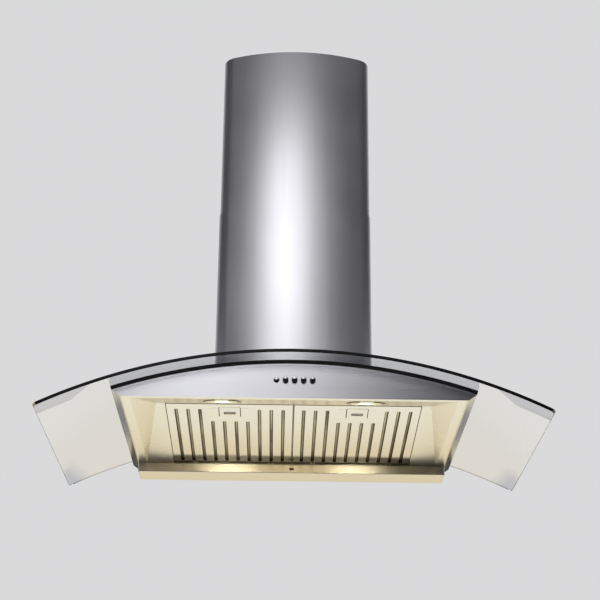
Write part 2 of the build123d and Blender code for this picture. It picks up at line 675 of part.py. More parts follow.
def trough_clips():
    """Leaf springs under the pan that grip the ends of the trough."""
    leaf_x = BODY_LOW_HALF - SHEET - PLAY
    rear, front = (-TROUGH_DEPTH - CLIP_WIDTH) / 2, (-TROUGH_DEPTH + CLIP_WIDTH) / 2
    clip = block(leaf_x - CLIP_FOOT, leaf_x, rear, front, RIM_Z - CLIP_T, RIM_Z)
    clip += block(leaf_x - CLIP_T, leaf_x, rear, front, RIM_Z - CLIP_DROP, RIM_Z)
    return [mirrored(clip), clip]


# ---- chimney -----------------------------------------------------------------
def chimney_plan(growth, back):
    """Plan of the chimney: straight sides, bowed front, rounded corners."""
    half = CHIMNEY_HALF + growth
    plan = plan_rect(-half, half, -CHIMNEY_DEPTH - BEYOND, back)
    plan &= Pos(0, CHIMNEY_BOW_R - CHIMNEY_DEPTH) * Circle(CHIMNEY_BOW_R + growth)
    return fillet(plan.vertices().group_by(Axis.Y)[0], CHIMNEY_CORNER_R + growth)


def chimney_shell(growth, back, low, high):
    """One section: a folded sheet open to the wall, with a flange along each rear edge."""
    shell = upright(chimney_plan(growth, back), low, high)
    shell -= upright(chimney_plan(growth - SHEET, back + BEYOND), low - BEYOND, high + BEYOND)
    edge = CHIMNEY_HALF + growth - SHEET / 2
    flange = block(edge - CHIMNEY_FLANGE - SHEET / 2, edge, back - SHEET, back, low, high)
    return shell + flange + mirrored(flange)


def side_holes(places):
    """Screw holes through a chimney's sides."""
    return [rod((x - BEYOND, y, z), (x + BEYOND, y, z), SCREW_R + SCREW_PLAY) for x, y, z in places]


def chimney_lower():
    low = arch_z(GLASS_ARCH_R, CHIMNEY_HALF + LOWER_GROWTH)
    shell = chimney_shell(LOWER_GROWTH, 0, low, GLASS_TOP + CHIMNEY_STEP)
    shell -= arch_fill(GLASS_ARCH_R + CHIMNEY_LIFT)
    for hole in side_holes(lower_screw_xyz()):
        shell -= hole
    return shell


def lower_screw_xyz():
    """Side screws of the lower chimney."""
    return [(side * (CHIMNEY_HALF + LOWER_GROWTH), -TAB_BACK, GLASS_TOP + TAB_RISE) for side in (-1, 1)]


def upper_screw_xyz():
    """Side screws of the upper chimney, into its top bracket."""
    z = GLASS_TOP + CHIMNEY_TOP - BRACKET_DROP - BRACKET_HEIGHT / 2
    return [(side * CHIMNEY_HALF, -UPPER_SCREW_BACK, z) for side in (-1, 1)]


def side_screws(places):
    """Screws driven inward through the sides, heads outside."""
    screws = []
    for x, y, z in places:
        side = 1 if x > 0 else -1
        shank = rod((x - side * SIDE_GRIP, y, z), (x, y, z), SCREW_R)
        screws.append(shank + rod((x, y, z), (x + side * SCREW_HEAD, y, z), SCREW_HEAD_R))
    return screws


def lower_tabs():
    """Angle brackets from the blower box to the sides of the lower chimney."""
    x, y, z = lower_screw_xyz()[1]
    rear, front = y - TAB_WIDTH / 2, y + TAB_WIDTH / 2
    inside, low = x - SHEET - SCREW_PLAY, z + TAB_LIFT
    tab = block(BOX_HALF, inside, rear, front, low, low + TAB_T)
    tab += block(inside - TAB_T, inside, rear, front, z - TAB_FOOT, low + TAB_T)
    tab += block(BOX_HALF, BOX_HALF + TAB_T, rear, front, low, low + TAB_HEIGHT)
    tab -= side_holes([(x, y, z)])[0]
    return [mirrored(tab), tab]


def upper_back():
    """Rear plane of the upper chimney, just clear of the lower one's flanges."""
    return -SHEET - FIT


def chimney_upper():
    top = GLASS_TOP + CHIMNEY_TOP
    low = GLASS_TOP + CHIMNEY_STEP - CHIMNEY_OVERLAP
    inside = CHIMNEY_HALF - SHEET
    shell = chimney_shell(0, upper_back(), low, top)
    shell -= block(-inside, inside, upper_back() - 2 * SHEET, BEYOND, top - CHIMNEY_NOTCH, top + BEYOND)
    for hole in side_holes(upper_screw_xyz()):
        shell -= hole
    return shell


def chimney_bracket():
    """Wall strip at the top, with an ear on each side for the chimney screws."""
    top = GLASS_TOP + CHIMNEY_TOP - BRACKET_DROP
    half = CHIMNEY_HALF - SHEET - FIT
    strip = block(-half, half, -BRACKET_T, 0, top - BRACKET_HEIGHT, top)
    for x, y, z in upper_screw_xyz():
        side = 1 if x > 0 else -1
        low, high = sorted((side * half, side * (half - BRACKET_T)))
        strip += block(low, high, -BRACKET_EAR, 0, top - BRACKET_HEIGHT, top)
        strip -= side_holes([(x, y, z)])[0]
        bolt_x = side * BRACKET_BOLT_HALF
        strip -= rod((bolt_x, -BEYOND, z), (bolt_x, BEYOND, z), BOLT_HOLE_R)
    return strip


# ---- wall bracket and blower box ----------------------------------------------
def wall_bracket():
    """The plate that carries the hood, bolted to the wall."""
    plate = block(-PLATE_HALF, PLATE_HALF, -PLATE_T, 0, BOX_TOP - PLATE_OVERLAP, PLATE_RISE)
    plate = fillet(plate.edges().filter_by(Axis.Y).group_by(Axis.Z)[-1], PLATE_CORNER_R)
    for x in (-BOLT_SPACING_X / 2, BOLT_SPACING_X / 2):
        for z in (-BOLT_SPACING_Z / 2, BOLT_SPACING_Z / 2):
            plate -= rod((x, -BEYOND, z), (x, BEYOND, z), BOLT_HOLE_R)
    for x, z in plate_screw_xz():
        plate -= rod((x, -BEYOND, z), (x, -SHEET, z), SCREW_R + SCREW_PLAY)
    return plate


def plate_screw_xz():
    """Screws from the blower box into the wall bracket."""
    return [(x, BOX_TOP - PLATE_OVERLAP / 2) for x in (-PLATE_SCREW_X, 0.0, PLATE_SCREW_X)]


def bracket_screws():
    """Screws from inside the blower box into the wall plate."""
    inside = BOX_BACK - SHEET
    return [rod((x, inside, z), (x, -PLATE_SCREW_TIP, z), SCREW_R)
            + rod((x, inside - SCREW_HEAD, z), (x, inside, z), SCREW_HEAD_R - PLAY)
            for x, z in plate_screw_xz()]


def throat():
    """Front and rear of the blower's outlet."""
    rear = BOX_BACK - SHEET - SCROLL_REAR_GAP
    return rear - OUTLET_THROAT, rear


def throat_hole():
    """The air way out of the blower, through its roof and the box's."""
    front, rear = throat()
    half = SCROLL_HALF - SCROLL_WALL
    return block(-half, half, front + SCROLL_WALL, rear - SCROLL_WALL, BOX_TOP - BEYOND, BOX_TOP + BEYOND)


def blower_box():
    """The steel box round the blower, standing on the body inside the chimney."""
    foot = arch_z(BODY_R, BOX_HALF) - SHEET
    box = block(-BOX_HALF, BOX_HALF, BOX_FRONT, BOX_BACK, foot, BOX_TOP)
    box = fillet(box.edges().filter_by(Axis.Z).group_by(Axis.Y)[0], BOX_CORNER_R)
    inside = BOX_HALF - SHEET
    box -= block(-inside, inside, BOX_FRONT + SHEET, BOX_BACK - SHEET, foot - BEYOND, BOX_TOP - SHEET)
    half = SHEET / 2
    ring = plan_rect(-BOX_HALF + half, BOX_HALF - half, BOX_FRONT + half, BOX_BACK - half)
    ring = fillet(ring.vertices().group_by(Axis.Y)[0], BOX_CORNER_R - half)
    ring -= plan_rect(-AIR_HALF, AIR_HALF, BOX_FRONT + AIR_MARGIN, BOX_BACK - AIR_MARGIN)
    box += arch_layer(BODY_R + SHEET, BODY_R, ring)
    box -= arch_fill(BODY_R)
    box -= throat_hole()
    for x, z in plate_screw_xz():
        box -= rod((x, BOX_BACK - 2 * SHEET, z), (x, 0, z), SCREW_R + SCREW_PLAY)
    return box


# ---- blower --------------------------------------------------------------------
def scroll_side(inset):
    """Side view of the scroll in Y and Z: three quarter arcs that open out to the outlet."""
    r1, r2, r3 = (SCROLL_R + i * SCROLL_STEP - inset for i in (0, 1, 2))
    cy, cz = BLOWER_Y, BLOWER_Z
    y2 = cy + SCROLL_STEP
    z3 = cz + SCROLL_STEP
    front, rear = throat()
    front, rear = front + inset, y2 + r3
    d = sqrt(0.5)
    top = BOX_TOP - SHEET
    path = [
        ThreePointArc((cy, cz + r1), (cy - r1 * d, cz + r1 * d), (cy - r1, cz)),
        ThreePointArc((y2 - r2, cz), (y2 - r2 * d, cz - r2 * d), (y2, cz - r2)),
        ThreePointArc((y2, z3 - r3), (y2 + r3 * d, z3 - r3 * d), (rear, z3)),
        Polyline((rear, z3), (rear, top), (front, top), (front, cz + r1), (cy, cz + r1)),
    ]
    return make_face(Curve() + path)


def across(section, half):
    """A section drawn in Y and Z, drawn out to both sides of the middle."""
    return extrude(Plane.YZ.offset(-half) * section, amount=2 * half)


def blower_scroll():
    """The fan housing: a flat-sided scroll with an air inlet in each side."""
    shell = across(scroll_side(0), SCROLL_HALF) - across(scroll_side(SCROLL_WALL), SCROLL_HALF - SCROLL_WALL)
    shell -= throat_hole()
    reach = SCROLL_HALF + BEYOND
    return shell - rod((-reach, BLOWER_Y, BLOWER_Z), (reach, BLOWER_Y, BLOWER_Z), INLET_R)


def inlet_rings():
    """Bell-mouthed rings round the two air inlets."""
    inner, outer = (SCROLL_HALF, BLOWER_Y, BLOWER_Z), (SCROLL_HALF + INLET_DEPTH, BLOWER_Y, BLOWER_Z)
    ring = tube(inner, outer, INLET_R + INLET_FLANGE, INLET_R - INLET_LIP)
    ring = fillet(ring.edges().group_by(Axis.X)[-1], INLET_DEPTH / 2 - SCREW_PLAY)
    return [mirrored(ring), ring]


def impeller():
    """Double-inlet wheel: a middle disc, a hub, two end rings and leaning blades."""
    axis = (BLOWER_Y, BLOWER_Z)
    half = WHEEL_RING / 2
    wheel = tube((-half, *axis), (half, *axis), WHEEL_R, SHAFT_R + SEAT)
    wheel += tube((-HUB_HALF, *axis), (HUB_HALF, *axis), HUB_R, SHAFT_R + SEAT)
    for x in (-WHEEL_HALF, WHEEL_HALF - WHEEL_RING):
        wheel += tube((x, *axis), (x + WHEEL_RING, *axis), WHEEL_R, WHEEL_INNER_R)
    blade = Pos(0, 0, (WHEEL_R + WHEEL_INNER_R) / 2) * Rot(BLADE_LEAN, 0, 0) * Box(
        2 * WHEEL_HALF, BLADE_T, WHEEL_R - WHEEL_INNER_R - BLADE_T)
    for i in range(BLADE_COUNT):
        wheel += Pos(0, *axis) * Rot(360 * i / BLADE_COUNT, 0, 0) * blade
    return wheel


def motor_x():
    """Inner and outer end of the motor, left of the scroll."""
    inner = -SCROLL_HALF - MOTOR_GAP
    return inner, inner - MOTOR_LENGTH


def motor_shaft():
    inner, outer = motor_x()
    return rod((outer + MOTOR_BOSS, BLOWER_Y, BLOWER_Z), (SHAFT_END, BLOWER_Y, BLOWER_Z), SHAFT_R)


def blower_motor():
    """Motor body with a raised stator band and bearing bosses."""
    inner, outer = motor_x()
    y, z = BLOWER_Y, BLOWER_Z
    body = rod((outer + MOTOR_BOSS, y, z), (inner - MOTOR_BOSS, y, z), MOTOR_R - MOTOR_BOSS)
    body = chamfer(body.edges().filter_by(GeomType.CIRCLE), MOTOR_BOSS + SHEET)
    body += rod((outer + STATOR_MARGIN, y, z), (inner - STATOR_MARGIN, y, z), MOTOR_R)
    body += rod((outer, y, z), (inner, y, z), MOTOR_BOSS_R)
    return body - rod((outer + MOTOR_BOSS - SHEET, y, z), (inner + SHEET, y, z), SHAFT_R + RUN)


def motor_bracket():
    """A split ring and three arms that hold the motor to the scroll."""
    inner, outer = motor_x()
    mid, half = (inner + outer) / 2, MOTOR_ARM_T / 2
    y, z = BLOWER_Y, BLOWER_Z
    width = MOTOR_CLAMP / 2
    bracket = tube((mid - width, y, z), (mid + width, y, z), MOTOR_R + MOTOR_ARM_T, MOTOR_R + SCREW_PLAY)
    reach = MOTOR_R + MOTOR_ARM
    arm = block(mid - half, mid + half, -width, width, MOTOR_R + SHEET, reach)
    arm += block(mid - half, -SCROLL_HALF, -width, width, reach - MOTOR_ARM_T, reach)
    for turn in (60, 180, 300):
        bracket += Pos(0, y, z) * Rot(turn, 0, 0) * arm
    return bracket


def run_capacitor():
    x, y = CAPACITOR_X, BOX_BACK - SHEET - CAPACITOR_R - FIT
    low = GLASS_TOP + CAPACITOR_RISE
    high = low + CAPACITOR_LENGTH
    can = rod((x, y, low), (x, y, high), CAPACITOR_R)
    can = fillet(can.edges().group_by(Axis.Z)[0], CAPACITOR_R / 8)
    half_t, half_w = TERMINAL_T / 2, TERMINAL_WIDTH / 2
    for side in (-1, 1):
        at = x + side * TERMINAL_PITCH / 2
        can += block(at - half_t, at + half_t, y - half_w, y + half_w, high, high + TERMINAL_HEIGHT)
    return can


def outlet_adapter():
    """The flanged transition from the blower's square outlet to the round collar."""
    front, rear = throat()
    mid_y = (front + rear) / 2
    high = BOX_TOP + ADAPTER_HEIGHT

    def skin(inset):
        foot = Rectangle(2 * SCROLL_HALF - 2 * inset, OUTLET_THROAT - 2 * inset)
        foot = fillet(foot.vertices(), ADAPTER_CORNER_R)
        return loft([Pos(0, mid_y, BOX_TOP) * foot, Pos(0, COLLAR_Y, high) * Circle(COLLAR_R - inset)])

    half, margin = SCROLL_HALF + ADAPTER_FLANGE, ADAPTER_CORNER_R
    flange = block(-half, half, front - margin, BOX_BACK - SHEET, BOX_TOP, BOX_TOP + ADAPTER_T)
    half = SCROLL_HALF - margin
    hole = block(-half, half, front + margin, rear - margin, BOX_TOP - SHEET, BOX_TOP + 2 * ADAPTER_T)
    return skin(0) + flange - skin(COLLAR_WALL) - hole


def outlet_collar():
    """The duct collar, with a ledge that the two flaps close on."""
    low = BOX_TOP + ADAPTER_HEIGHT
    bore = COLLAR_R - COLLAR_WALL
    ring = tube((0, COLLAR_Y, low), (0, COLLAR_Y, low + COLLAR_HEIGHT), COLLAR_R, bore)
    top = FLAP_Z - FLAP_T / 2 - PLAY
    ledge = tube((0, COLLAR_Y, top - LEDGE_T), (0, COLLAR_Y, top), bore + COLLAR_WALL / 2, bore - LEDGE_REACH)
    rear, front = COLLAR_Y + LEDGE_GAP, COLLAR_Y - LEDGE_GAP
    ledge -= block(-COLLAR_R, COLLAR_R, front, rear, top - BEYOND, top + BEYOND)
    ring += ledge
    for side in (-1, 1):
        y = COLLAR_Y + side * FLAP_SPLIT
        ring -= rod((-COLLAR_R, y, FLAP_Z), (COLLAR_R, y, FLAP_Z), FLAP_PIN_R + RUN)
    return ring


def damper_flap(side):
    """A half-round flap on a pin across the collar; side is 1 for the rear one."""
    y = COLLAR_Y + side * FLAP_SPLIT
    near, far = sorted((y, y + side * COLLAR_R))
    low, high = FLAP_Z - FLAP_T / 2, FLAP_Z + FLAP_T / 2
    disc = rod((0, COLLAR_Y, low), (0, COLLAR_Y, high), COLLAR_R - COLLAR_WALL - FLAP_MARGIN)
    half = disc & block(-COLLAR_R, COLLAR_R, near, far, low, high)
    reach = sqrt(COLLAR_R**2 - FLAP_SPLIT**2) - SCREW_PLAY
    return half + rod((-reach, y, FLAP_Z), (reach, y, FLAP_Z), FLAP_PIN_R)


# ---- electrics -------------------------------------------------------------------
def terminal_box():
    """Closed plastic box on the blower box, with a hole for the cable gland."""
    x, y, wall = TERMINAL_BOX_X, TERMINAL_BOX_Y, TERMINAL_BOX_WALL
    half, front, rear = TERMINAL_BOX_HALF, y - TERMINAL_BOX_FRONT, y + TERMINAL_BOX_REAR
    low, high = BOX_TOP, BOX_TOP + TERMINAL_BOX_HEIGHT
    box = block(x - half, x + half, front, rear, low, high)
    box = fillet(box.edges().filter_by(Axis.Z), TERMINAL_BOX_CORNER_R)
    half -= wall
    box -= block(x - half, x + half, front + wall, rear - wall, low + wall, high - wall)
    return box - rod((x, y, high - 2 * wall), (x, y, high + wall), GLAND_THREAD_R + FIT)


def cable_gland():
    """The bushing where the supply lead enters."""
    x, y, low = TERMINAL_BOX_X, TERMINAL_BOX_Y, BOX_TOP + TERMINAL_BOX_HEIGHT
    nut_top = low + GLAND_NUT
    gland = rod((x, y, low - GLAND_THREAD), (x, y, low), GLAND_THREAD_R)
    gland += upright(Pos(x, y) * RegularPolygon(GLAND_NUT_R, 6), low, nut_top)
    gland += rod((x, y, nut_top), (x, y, nut_top + GLAND_CAP), GLAND_CAP_R)
    return gland - rod((x, y, low - BEYOND), (x, y, low + 2 * BEYOND), GLAND_BORE_R)


def lamp_driver():
    """Power supply of the lamps, under the roof of the body between them."""
    roof = arch_z(BODY_R - SHEET, DRIVER_HALF) - FIT
    front = FRONT_Y + DRIVER_BACK
    driver = block(-DRIVER_HALF, DRIVER_HALF, front, front + DRIVER_DEPTH, roof - DRIVER_HEIGHT, roof)
    return chamfer(driver.edges().filter_by(Axis.Z), DRIVER_EDGE)


def switch_housing():
    """Moulded block behind the front, with a stepped bore for each button."""
    half, rise = BUTTON_PITCH * BUTTON_COUNT / 2 + SWITCH_MARGIN, SWITCH_HEIGHT / 2
    back = INSIDE_Y + SWITCH_DEPTH
    housing = block(-half, half, INSIDE_Y, back, BUTTON_Z - rise, BUTTON_Z + rise)
    housing = fillet(housing.edges().filter_by(Axis.Y), SWITCH_EDGE_R)
    for x in button_xs():
        step = (x, INSIDE_Y + SWITCH_COUNTERBORE, BUTTON_Z)
        housing -= rod((x, INSIDE_Y - SHEET, BUTTON_Z), step, BUTTON_R + PLAY)
        housing -= rod((x, INSIDE_Y, BUTTON_Z), (x, back - 2 * SHEET, BUTTON_Z), BUTTON_STEM_R + PLAY)
    return housing


def button(index):
    """A domed push button on its stem; the first one is latched in."""
    x = button_xs()[index]
    face = FRONT_Y - BUTTON_OUT + (BUTTON_TRAVEL if index == 0 else 0.0)
    neck = face + BUTTON_OUT + BUTTON_NECK
    head = rod((x, face, BUTTON_Z), (x, neck, BUTTON_Z), BUTTON_R)
    head = fillet(head.edges().group_by(Axis.Y)[0], BUTTON_R * 0.7)
    return head + rod((x, neck - SHEET, BUTTON_Z), (x, neck + BUTTON_STEM, BUTTON_Z), BUTTON_STEM_R)


# ---- lamps -----------------------------------------------------------------------
def ring_on(side, low, high, outer, inner):
    """A ring on a lamp's seat, between two heights over the strip."""
    ring = Cylinder(outer, high - low) - Cylinder(inner, high - low)
    return lamp_plane(side) * Pos(0, 0, (low + high) / 2) * ring


def lamp_bezel(side):
    neck_r = LAMP_HOLE_R - FIT
    flange = ring_on(side, -LAMP_RING_T, 0, LAMP_R, LENS_R + FIT)
    return flange + ring_on(side, -SHEET / 2, LAMP_NECK, neck_r, neck_r - LAMP_NECK_T)


def lamp_lens(side):
    """A shallow domed glass disc."""
    disc = Cylinder(LENS_R, LENS_T)
    disc = fillet(disc.edges().group_by(Axis.Z)[0], LENS_EDGE_R)
    return lamp_plane(side) * Pos(0, 0, FIT) * disc


def lamp_housing(side):
    outer, top = LAMP_HOLE_R - FIT, LAMP_NECK + LAMP_HEIGHT
    cup = ring_on(side, LAMP_NECK, top, outer, outer - SHEET)
    return cup + lamp_plane(side) * Pos(0, 0, top) * Cylinder(outer, 2 * SHEET)


def lamp_board(side):
    """Light source: a round board that carries a raised emitter, under the cup's roof."""
    top = LAMP_NECK + LAMP_HEIGHT - SHEET
    board = Pos(0, 0, top - SHEET) * Cylinder(LAMP_HOLE_R - 2 * SHEET, 2 * SHEET)
    emitter = Pos(0, 0, top - 2 * SHEET - EMITTER_T / 2) * Cylinder(EMITTER_R, EMITTER_T)
    return lamp_plane(side) * (board + emitter)


# ---- all nodes ---------------------------------------------------------------------
def nodes():
    """Every node's name and its piece or pieces."""
    parts = {
        "wall_bracket": wall_bracket(), "bracket_screws": bracket_screws(),
        "body_casing": body_casing(), "front_fascia": front_fascia(),
        "underside_pan": underside_pan(), "pan_screws": pan_screws(), "pan_blocks": pan_blocks(),
        "filter_rail": filter_rail(), "glass_canopy": glass_canopy(), "glass_gasket": glass_gasket(),
        "glass_clamps": glass_clamps(), "glass_screws": glass_screws(), "glass_grommets": glass_grommets(),
        "blower_box": blower_box(), "blower_scroll": blower_scroll(), "inlet_rings": inlet_rings(),
        "impeller": impeller(), "motor_shaft": motor_shaft(), "blower_motor": blower_motor(),
        "motor_bracket": motor_bracket(), "run_capacitor": run_capacitor(),
        "outlet_adapter": outlet_adapter(), "outlet_collar": outlet_collar(),
        "damper_flap_rear": damper_flap(1), "damper_flap_front": damper_flap(-1),
        "chimney_lower": chimney_lower(), "lower_chimney_tabs": lower_tabs(),
        "lower_chimney_screws": side_screws(lower_screw_xyz()),
        "chimney_upper": chimney_upper(), "chimney_bracket": chimney_bracket(),
        "upper_chimney_screws": side_screws(upper_screw_xyz()),
        "terminal_box": terminal_box(), "cable_gland": cable_gland(), "lamp_driver": lamp_driver(),
        "switch_housing": switch_housing(), "grease_trough": grease_trough(), "trough_clips": trough_clips(),
    }
    for i in range(BUTTON_COUNT):
        parts[f"button_{i + 1}"] = button(i)
    for name, side in (("left", -1), ("right", 1)):
        parts[f"{name}_filter_face"] = filter_face(side)
        parts[f"{name}_filter_frame"] = filter_frame(side)
        parts[f"{name}_filter_baffle"] = filter_baffle(side)
        parts[f"{name}_latch"] = filter_latch(side)
        parts[f"{name}_latch_spring"] = latch_spring(side)
        parts[f"{name}_lamp_bezel"] = lamp_bezel(side)
        parts[f"{name}_lamp_lens"] = lamp_lens(side)
        parts[f"{name}_lamp_housing"] = lamp_housing(side)
        parts[f"{name}_lamp_board"] = lamp_board(side)
    return parts


os.makedirs("parts", exist_ok=True)
for name, shape in nodes().items():
    solids = shape if isinstance(shape, list) else [shape]
    export_step(Compound(children=[s for piece in solids for s in piece.solids()]), f"parts/{name}.step")
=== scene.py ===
# %% [markdown]
# # A curved glass range hood
# The hood's construction is already settled: every piece has its size and its place.
# This lesson dresses it. It places a camera where the photograph was taken, lights the hood
# softly, and then gives each visible piece its finished shape and its own surface.

# %% Load the frame
import math
import bmesh
import bpy
from mathutils import Matrix, Vector


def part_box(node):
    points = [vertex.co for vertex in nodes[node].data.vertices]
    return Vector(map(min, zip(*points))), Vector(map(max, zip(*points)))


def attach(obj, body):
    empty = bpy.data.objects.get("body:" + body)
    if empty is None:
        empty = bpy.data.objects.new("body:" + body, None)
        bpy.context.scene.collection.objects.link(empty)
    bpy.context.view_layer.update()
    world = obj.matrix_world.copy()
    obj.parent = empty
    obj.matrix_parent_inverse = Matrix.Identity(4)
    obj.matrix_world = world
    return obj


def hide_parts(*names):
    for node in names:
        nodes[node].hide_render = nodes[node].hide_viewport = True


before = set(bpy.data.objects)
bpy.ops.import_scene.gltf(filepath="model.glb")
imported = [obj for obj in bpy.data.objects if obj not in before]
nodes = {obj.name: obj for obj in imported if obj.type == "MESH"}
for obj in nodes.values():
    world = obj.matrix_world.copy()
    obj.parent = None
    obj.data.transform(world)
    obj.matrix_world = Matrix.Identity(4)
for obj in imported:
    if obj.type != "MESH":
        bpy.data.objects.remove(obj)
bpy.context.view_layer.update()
MM = 0.001

# %% [markdown]
# ## The camera
# The photograph was taken from in front of the hood and well below it, looking up by 23
# degrees, with a long lens. The place and direction below were worked out from points of the
# hood whose real sizes are known, so the picture lines up with the model without any shift.

# %% Camera
CAMERA_PLACE = Vector((-0.0263, -2.9111, -1.1974))
CAMERA_RIGHT = Vector((0.999813, -0.017520, 0.008141))
CAMERA_UP = Vector((-0.014319, -0.389148, 0.921064))
LENS_MM, SENSOR_MM = 88.98, 36
NEAREST = 0.05

camera = bpy.data.objects.new("camera", bpy.data.cameras.new("camera"))
bpy.context.scene.collection.objects.link(camera)
axes = Matrix((CAMERA_RIGHT, CAMERA_UP, CAMERA_RIGHT.cross(CAMERA_UP))).transposed()
camera.matrix_world = Matrix.Translation(CAMERA_PLACE) @ axes.to_4x4()
camera.data.lens = LENS_MM
camera.data.sensor_width = SENSOR_MM
camera.data.clip_start = NEAREST
bpy.context.scene.camera = camera
bpy.context.scene.view_settings.view_transform = "Standard"
looks_up = math.degrees(math.asin(-camera.matrix_world.col[2].z))
print("camera looks up by", round(looks_up, 1), "degrees")

# %% [markdown]
# ## Maths on sockets
# A procedural finish is mostly arithmetic on a few patterns. Wiring Math nodes by hand hides
# that arithmetic, so a small class wraps an output socket and lets Python's own operators add
# the Math nodes. Everything that isn't arithmetic comes from its one method, `node`.

# %% The wire class
class Wire:
    """One value in a material. Arithmetic on it adds Math nodes."""

    def __init__(self, tree, socket=None):
        self.tree = tree
        self.socket = socket

    def node(self, kind, settings=None, values=None, out=0):
        """Add any node: settings first, then what goes into its sockets, by name or number."""
        made = self.tree.nodes.new(kind)
        for name, value in (settings or {}).items():
            if name == "stops":
                fill_ramp(made.color_ramp, value)
            else:
                setattr(made, name, value)
        for name, value in (values or {}).items():
            if isinstance(value, Wire):
                self.tree.links.new(value.socket, made.inputs[name])
            else:
                made.inputs[name].default_value = value
        return Wire(self.tree, made.outputs[out])

    def math(self, operation, *others):
        sockets = dict(enumerate((self, *others)))
        return self.node("ShaderNodeMath", {"operation": operation}, sockets)

    def __add__(self, other):
        return self.math("ADD", other)

    def __sub__(self, other):
        return self.math("SUBTRACT", other)

    def __mul__(self, other):
        return self.math("MULTIPLY", other)

    def __truediv__(self, other):
        return self.math("DIVIDE", other)

    def __pow__(self, power):
        return self.math("POWER", power)

    def __lt__(self, other):
        return self.math("LESS_THAN", other)

    def __gt__(self, other):
        return self.math("GREATER_THAN", other)


def fill_ramp(ramp, stops):
    """Give a colour ramp its stops: (place, colour or grey level)."""
    ramp.elements[0].position, ramp.elements[-1].position = stops[0][0], stops[-1][0]
    for place, _ in stops[1:-1]:
        ramp.elements.new(place)
    for element, (_, level) in zip(ramp.elements, stops):
        colour = (level, level, level) if isinstance(level, (int, float)) else level
        element.color = (*colour, 1.0)


print("wires:", Wire.__doc__)

# %% [markdown]
# ## Starting a material
# Every finish starts the same way: an empty material with one Principled shader, and a wire
# that carries the place on the piece. Constant values are set on the shader's own sockets.
# Patterns are short functions, so that a finish reads as a sentence about its surface.

# %% Material helpers
OBJECT_PLACE = 3
MIX_AMOUNT, MIX_FIRST, MIX_SECOND, MIX_COLOUR = 0, 6, 7, 2


def start(name, **constants):
    """A new material: its shader and the wire of its object coordinates."""
    material = bpy.data.materials.new(name)
    material.use_nodes = True
    shader = material.node_tree.nodes["Principled BSDF"]
    for socket, value in constants.items():
        shader.inputs[socket.replace("_", " ")].default_value = value
    place = Wire(material.node_tree).node("ShaderNodeTexCoord", out=OBJECT_PLACE)
    return material, shader, place


def feed(shader, **wires):
    """Link wires to the shader's sockets."""
    for socket, wire in wires.items():
        shader.id_data.links.new(wire.socket, shader.inputs[socket.replace("_", " ")])


def stretch(place, scale):
    """Scale the coordinates, so that a pattern runs out along one direction."""
    return place.node("ShaderNodeMapping", {}, {"Vector": place, "Scale": scale})


def noise(place, scale, detail=2.0, rough=0.5):
    """A cloudy value from 0 to 1."""
    return place.node("ShaderNodeTexNoise", {}, {"Vector": place, "Scale": scale,
                                                 "Detail": detail, "Roughness": rough})


def ramp(wire, *stops):
    return wire.node("ShaderNodeValToRGB", {"stops": stops}, {"Fac": wire})


def parts_of(place):
    """The three numbers of a place: right, into the wall, up."""
    return [place.node("ShaderNodeSeparateXYZ", {}, {"Vector": place}, out) for out in range(3)]


def bump(height, strength, distance):
    return height.node("ShaderNodeBump", {},
                       {"Height": height, "Strength": strength, "Distance": distance})


def blend_colours(amount, first, second):
    """Mix two colours by a wire from 0 to 1."""
    return amount.node("ShaderNodeMix", {"data_type": "RGBA"},
                       {MIX_AMOUNT: amount, MIX_FIRST: first, MIX_SECOND: second}, MIX_COLOUR)


def vary(middle, *swings):
    """A value that swings about its middle: each swing is a wire and how far it takes it."""
    total = None
    for wire, swing in swings:
        total = wire * swing if total is None else total + wire * swing
    return total + (middle - sum(swing for _, swing in swings) / 2)


def shade(colour, by):
    """The same colour, darker or lighter."""
    return tuple(min(1, c * by) for c in colour)


def dress(material, *names):
    """Give a carried-over piece its finish."""
    for name in names:
        slots = nodes[name].material_slots
        if not slots:
            nodes[name].data.materials.append(material)
        for slot in slots:
            slot.material = material
    print(material.name, "on", ", ".join(names))


print("patterns ready:", ", ".join(f.__name__ for f in (stretch, noise, ramp, bump, vary)))

# %% [markdown]
# ## A studio round the hood
# Brushed steel shows whatever stands round it, so its look comes from the light and isn't
# painted. The world is one plain pale grey, which the camera, the metal and the glass all see.
# The floor lies far below, because a hood hangs high and is looked at from underneath.

# %% Floor and world
PALE = (0.70, 0.70, 0.71)
FLOOR_SIZE, FLOOR_PLACE = 24, (0, -1.0, -3.4)

bpy.ops.mesh.primitive_plane_add(size=FLOOR_SIZE, location=FLOOR_PLACE)
floor = bpy.context.object
floor.name = "floor"
material, shader, place = start("pale_floor", Roughness=0.8)
feed(shader, Base_Color=ramp(noise(place, 3), (0.3, (0.66, 0.66, 0.66)), (0.7, (0.69, 0.69, 0.69))))
floor.data.materials.append(material)

world = bpy.data.worlds.new("studio")
world.use_nodes = True
bpy.context.scene.world = world
background = world.node_tree.nodes["Background"]
background.inputs["Color"].default_value = (*PALE, 1.0)
background.inputs["Strength"].default_value = 1.0
print("floor at", FLOOR_PLACE, "under a world of", PALE)

# %% [markdown]
# ## Screens
# A screen is a flat panel that glows as its ramps say. The camera sees none of them. Nearly all
# are also kept out of the soft light and out of what shines through the glass, so they serve
# only what the metal mirrors. Steel is photographed likewise, with pale and dark card round it.

# %% The screen helper
NO_LIGHT = ("diffuse",)
MIRROR_ONLY = ("diffuse", "transmission")
BLACK, DEEP = (0, 0, 0, 1), (0.02, 0.02, 0.022, 1)
GREY, SOFT = (0.06, 0.06, 0.066, 1), (0.62, 0.62, 0.64, 1)


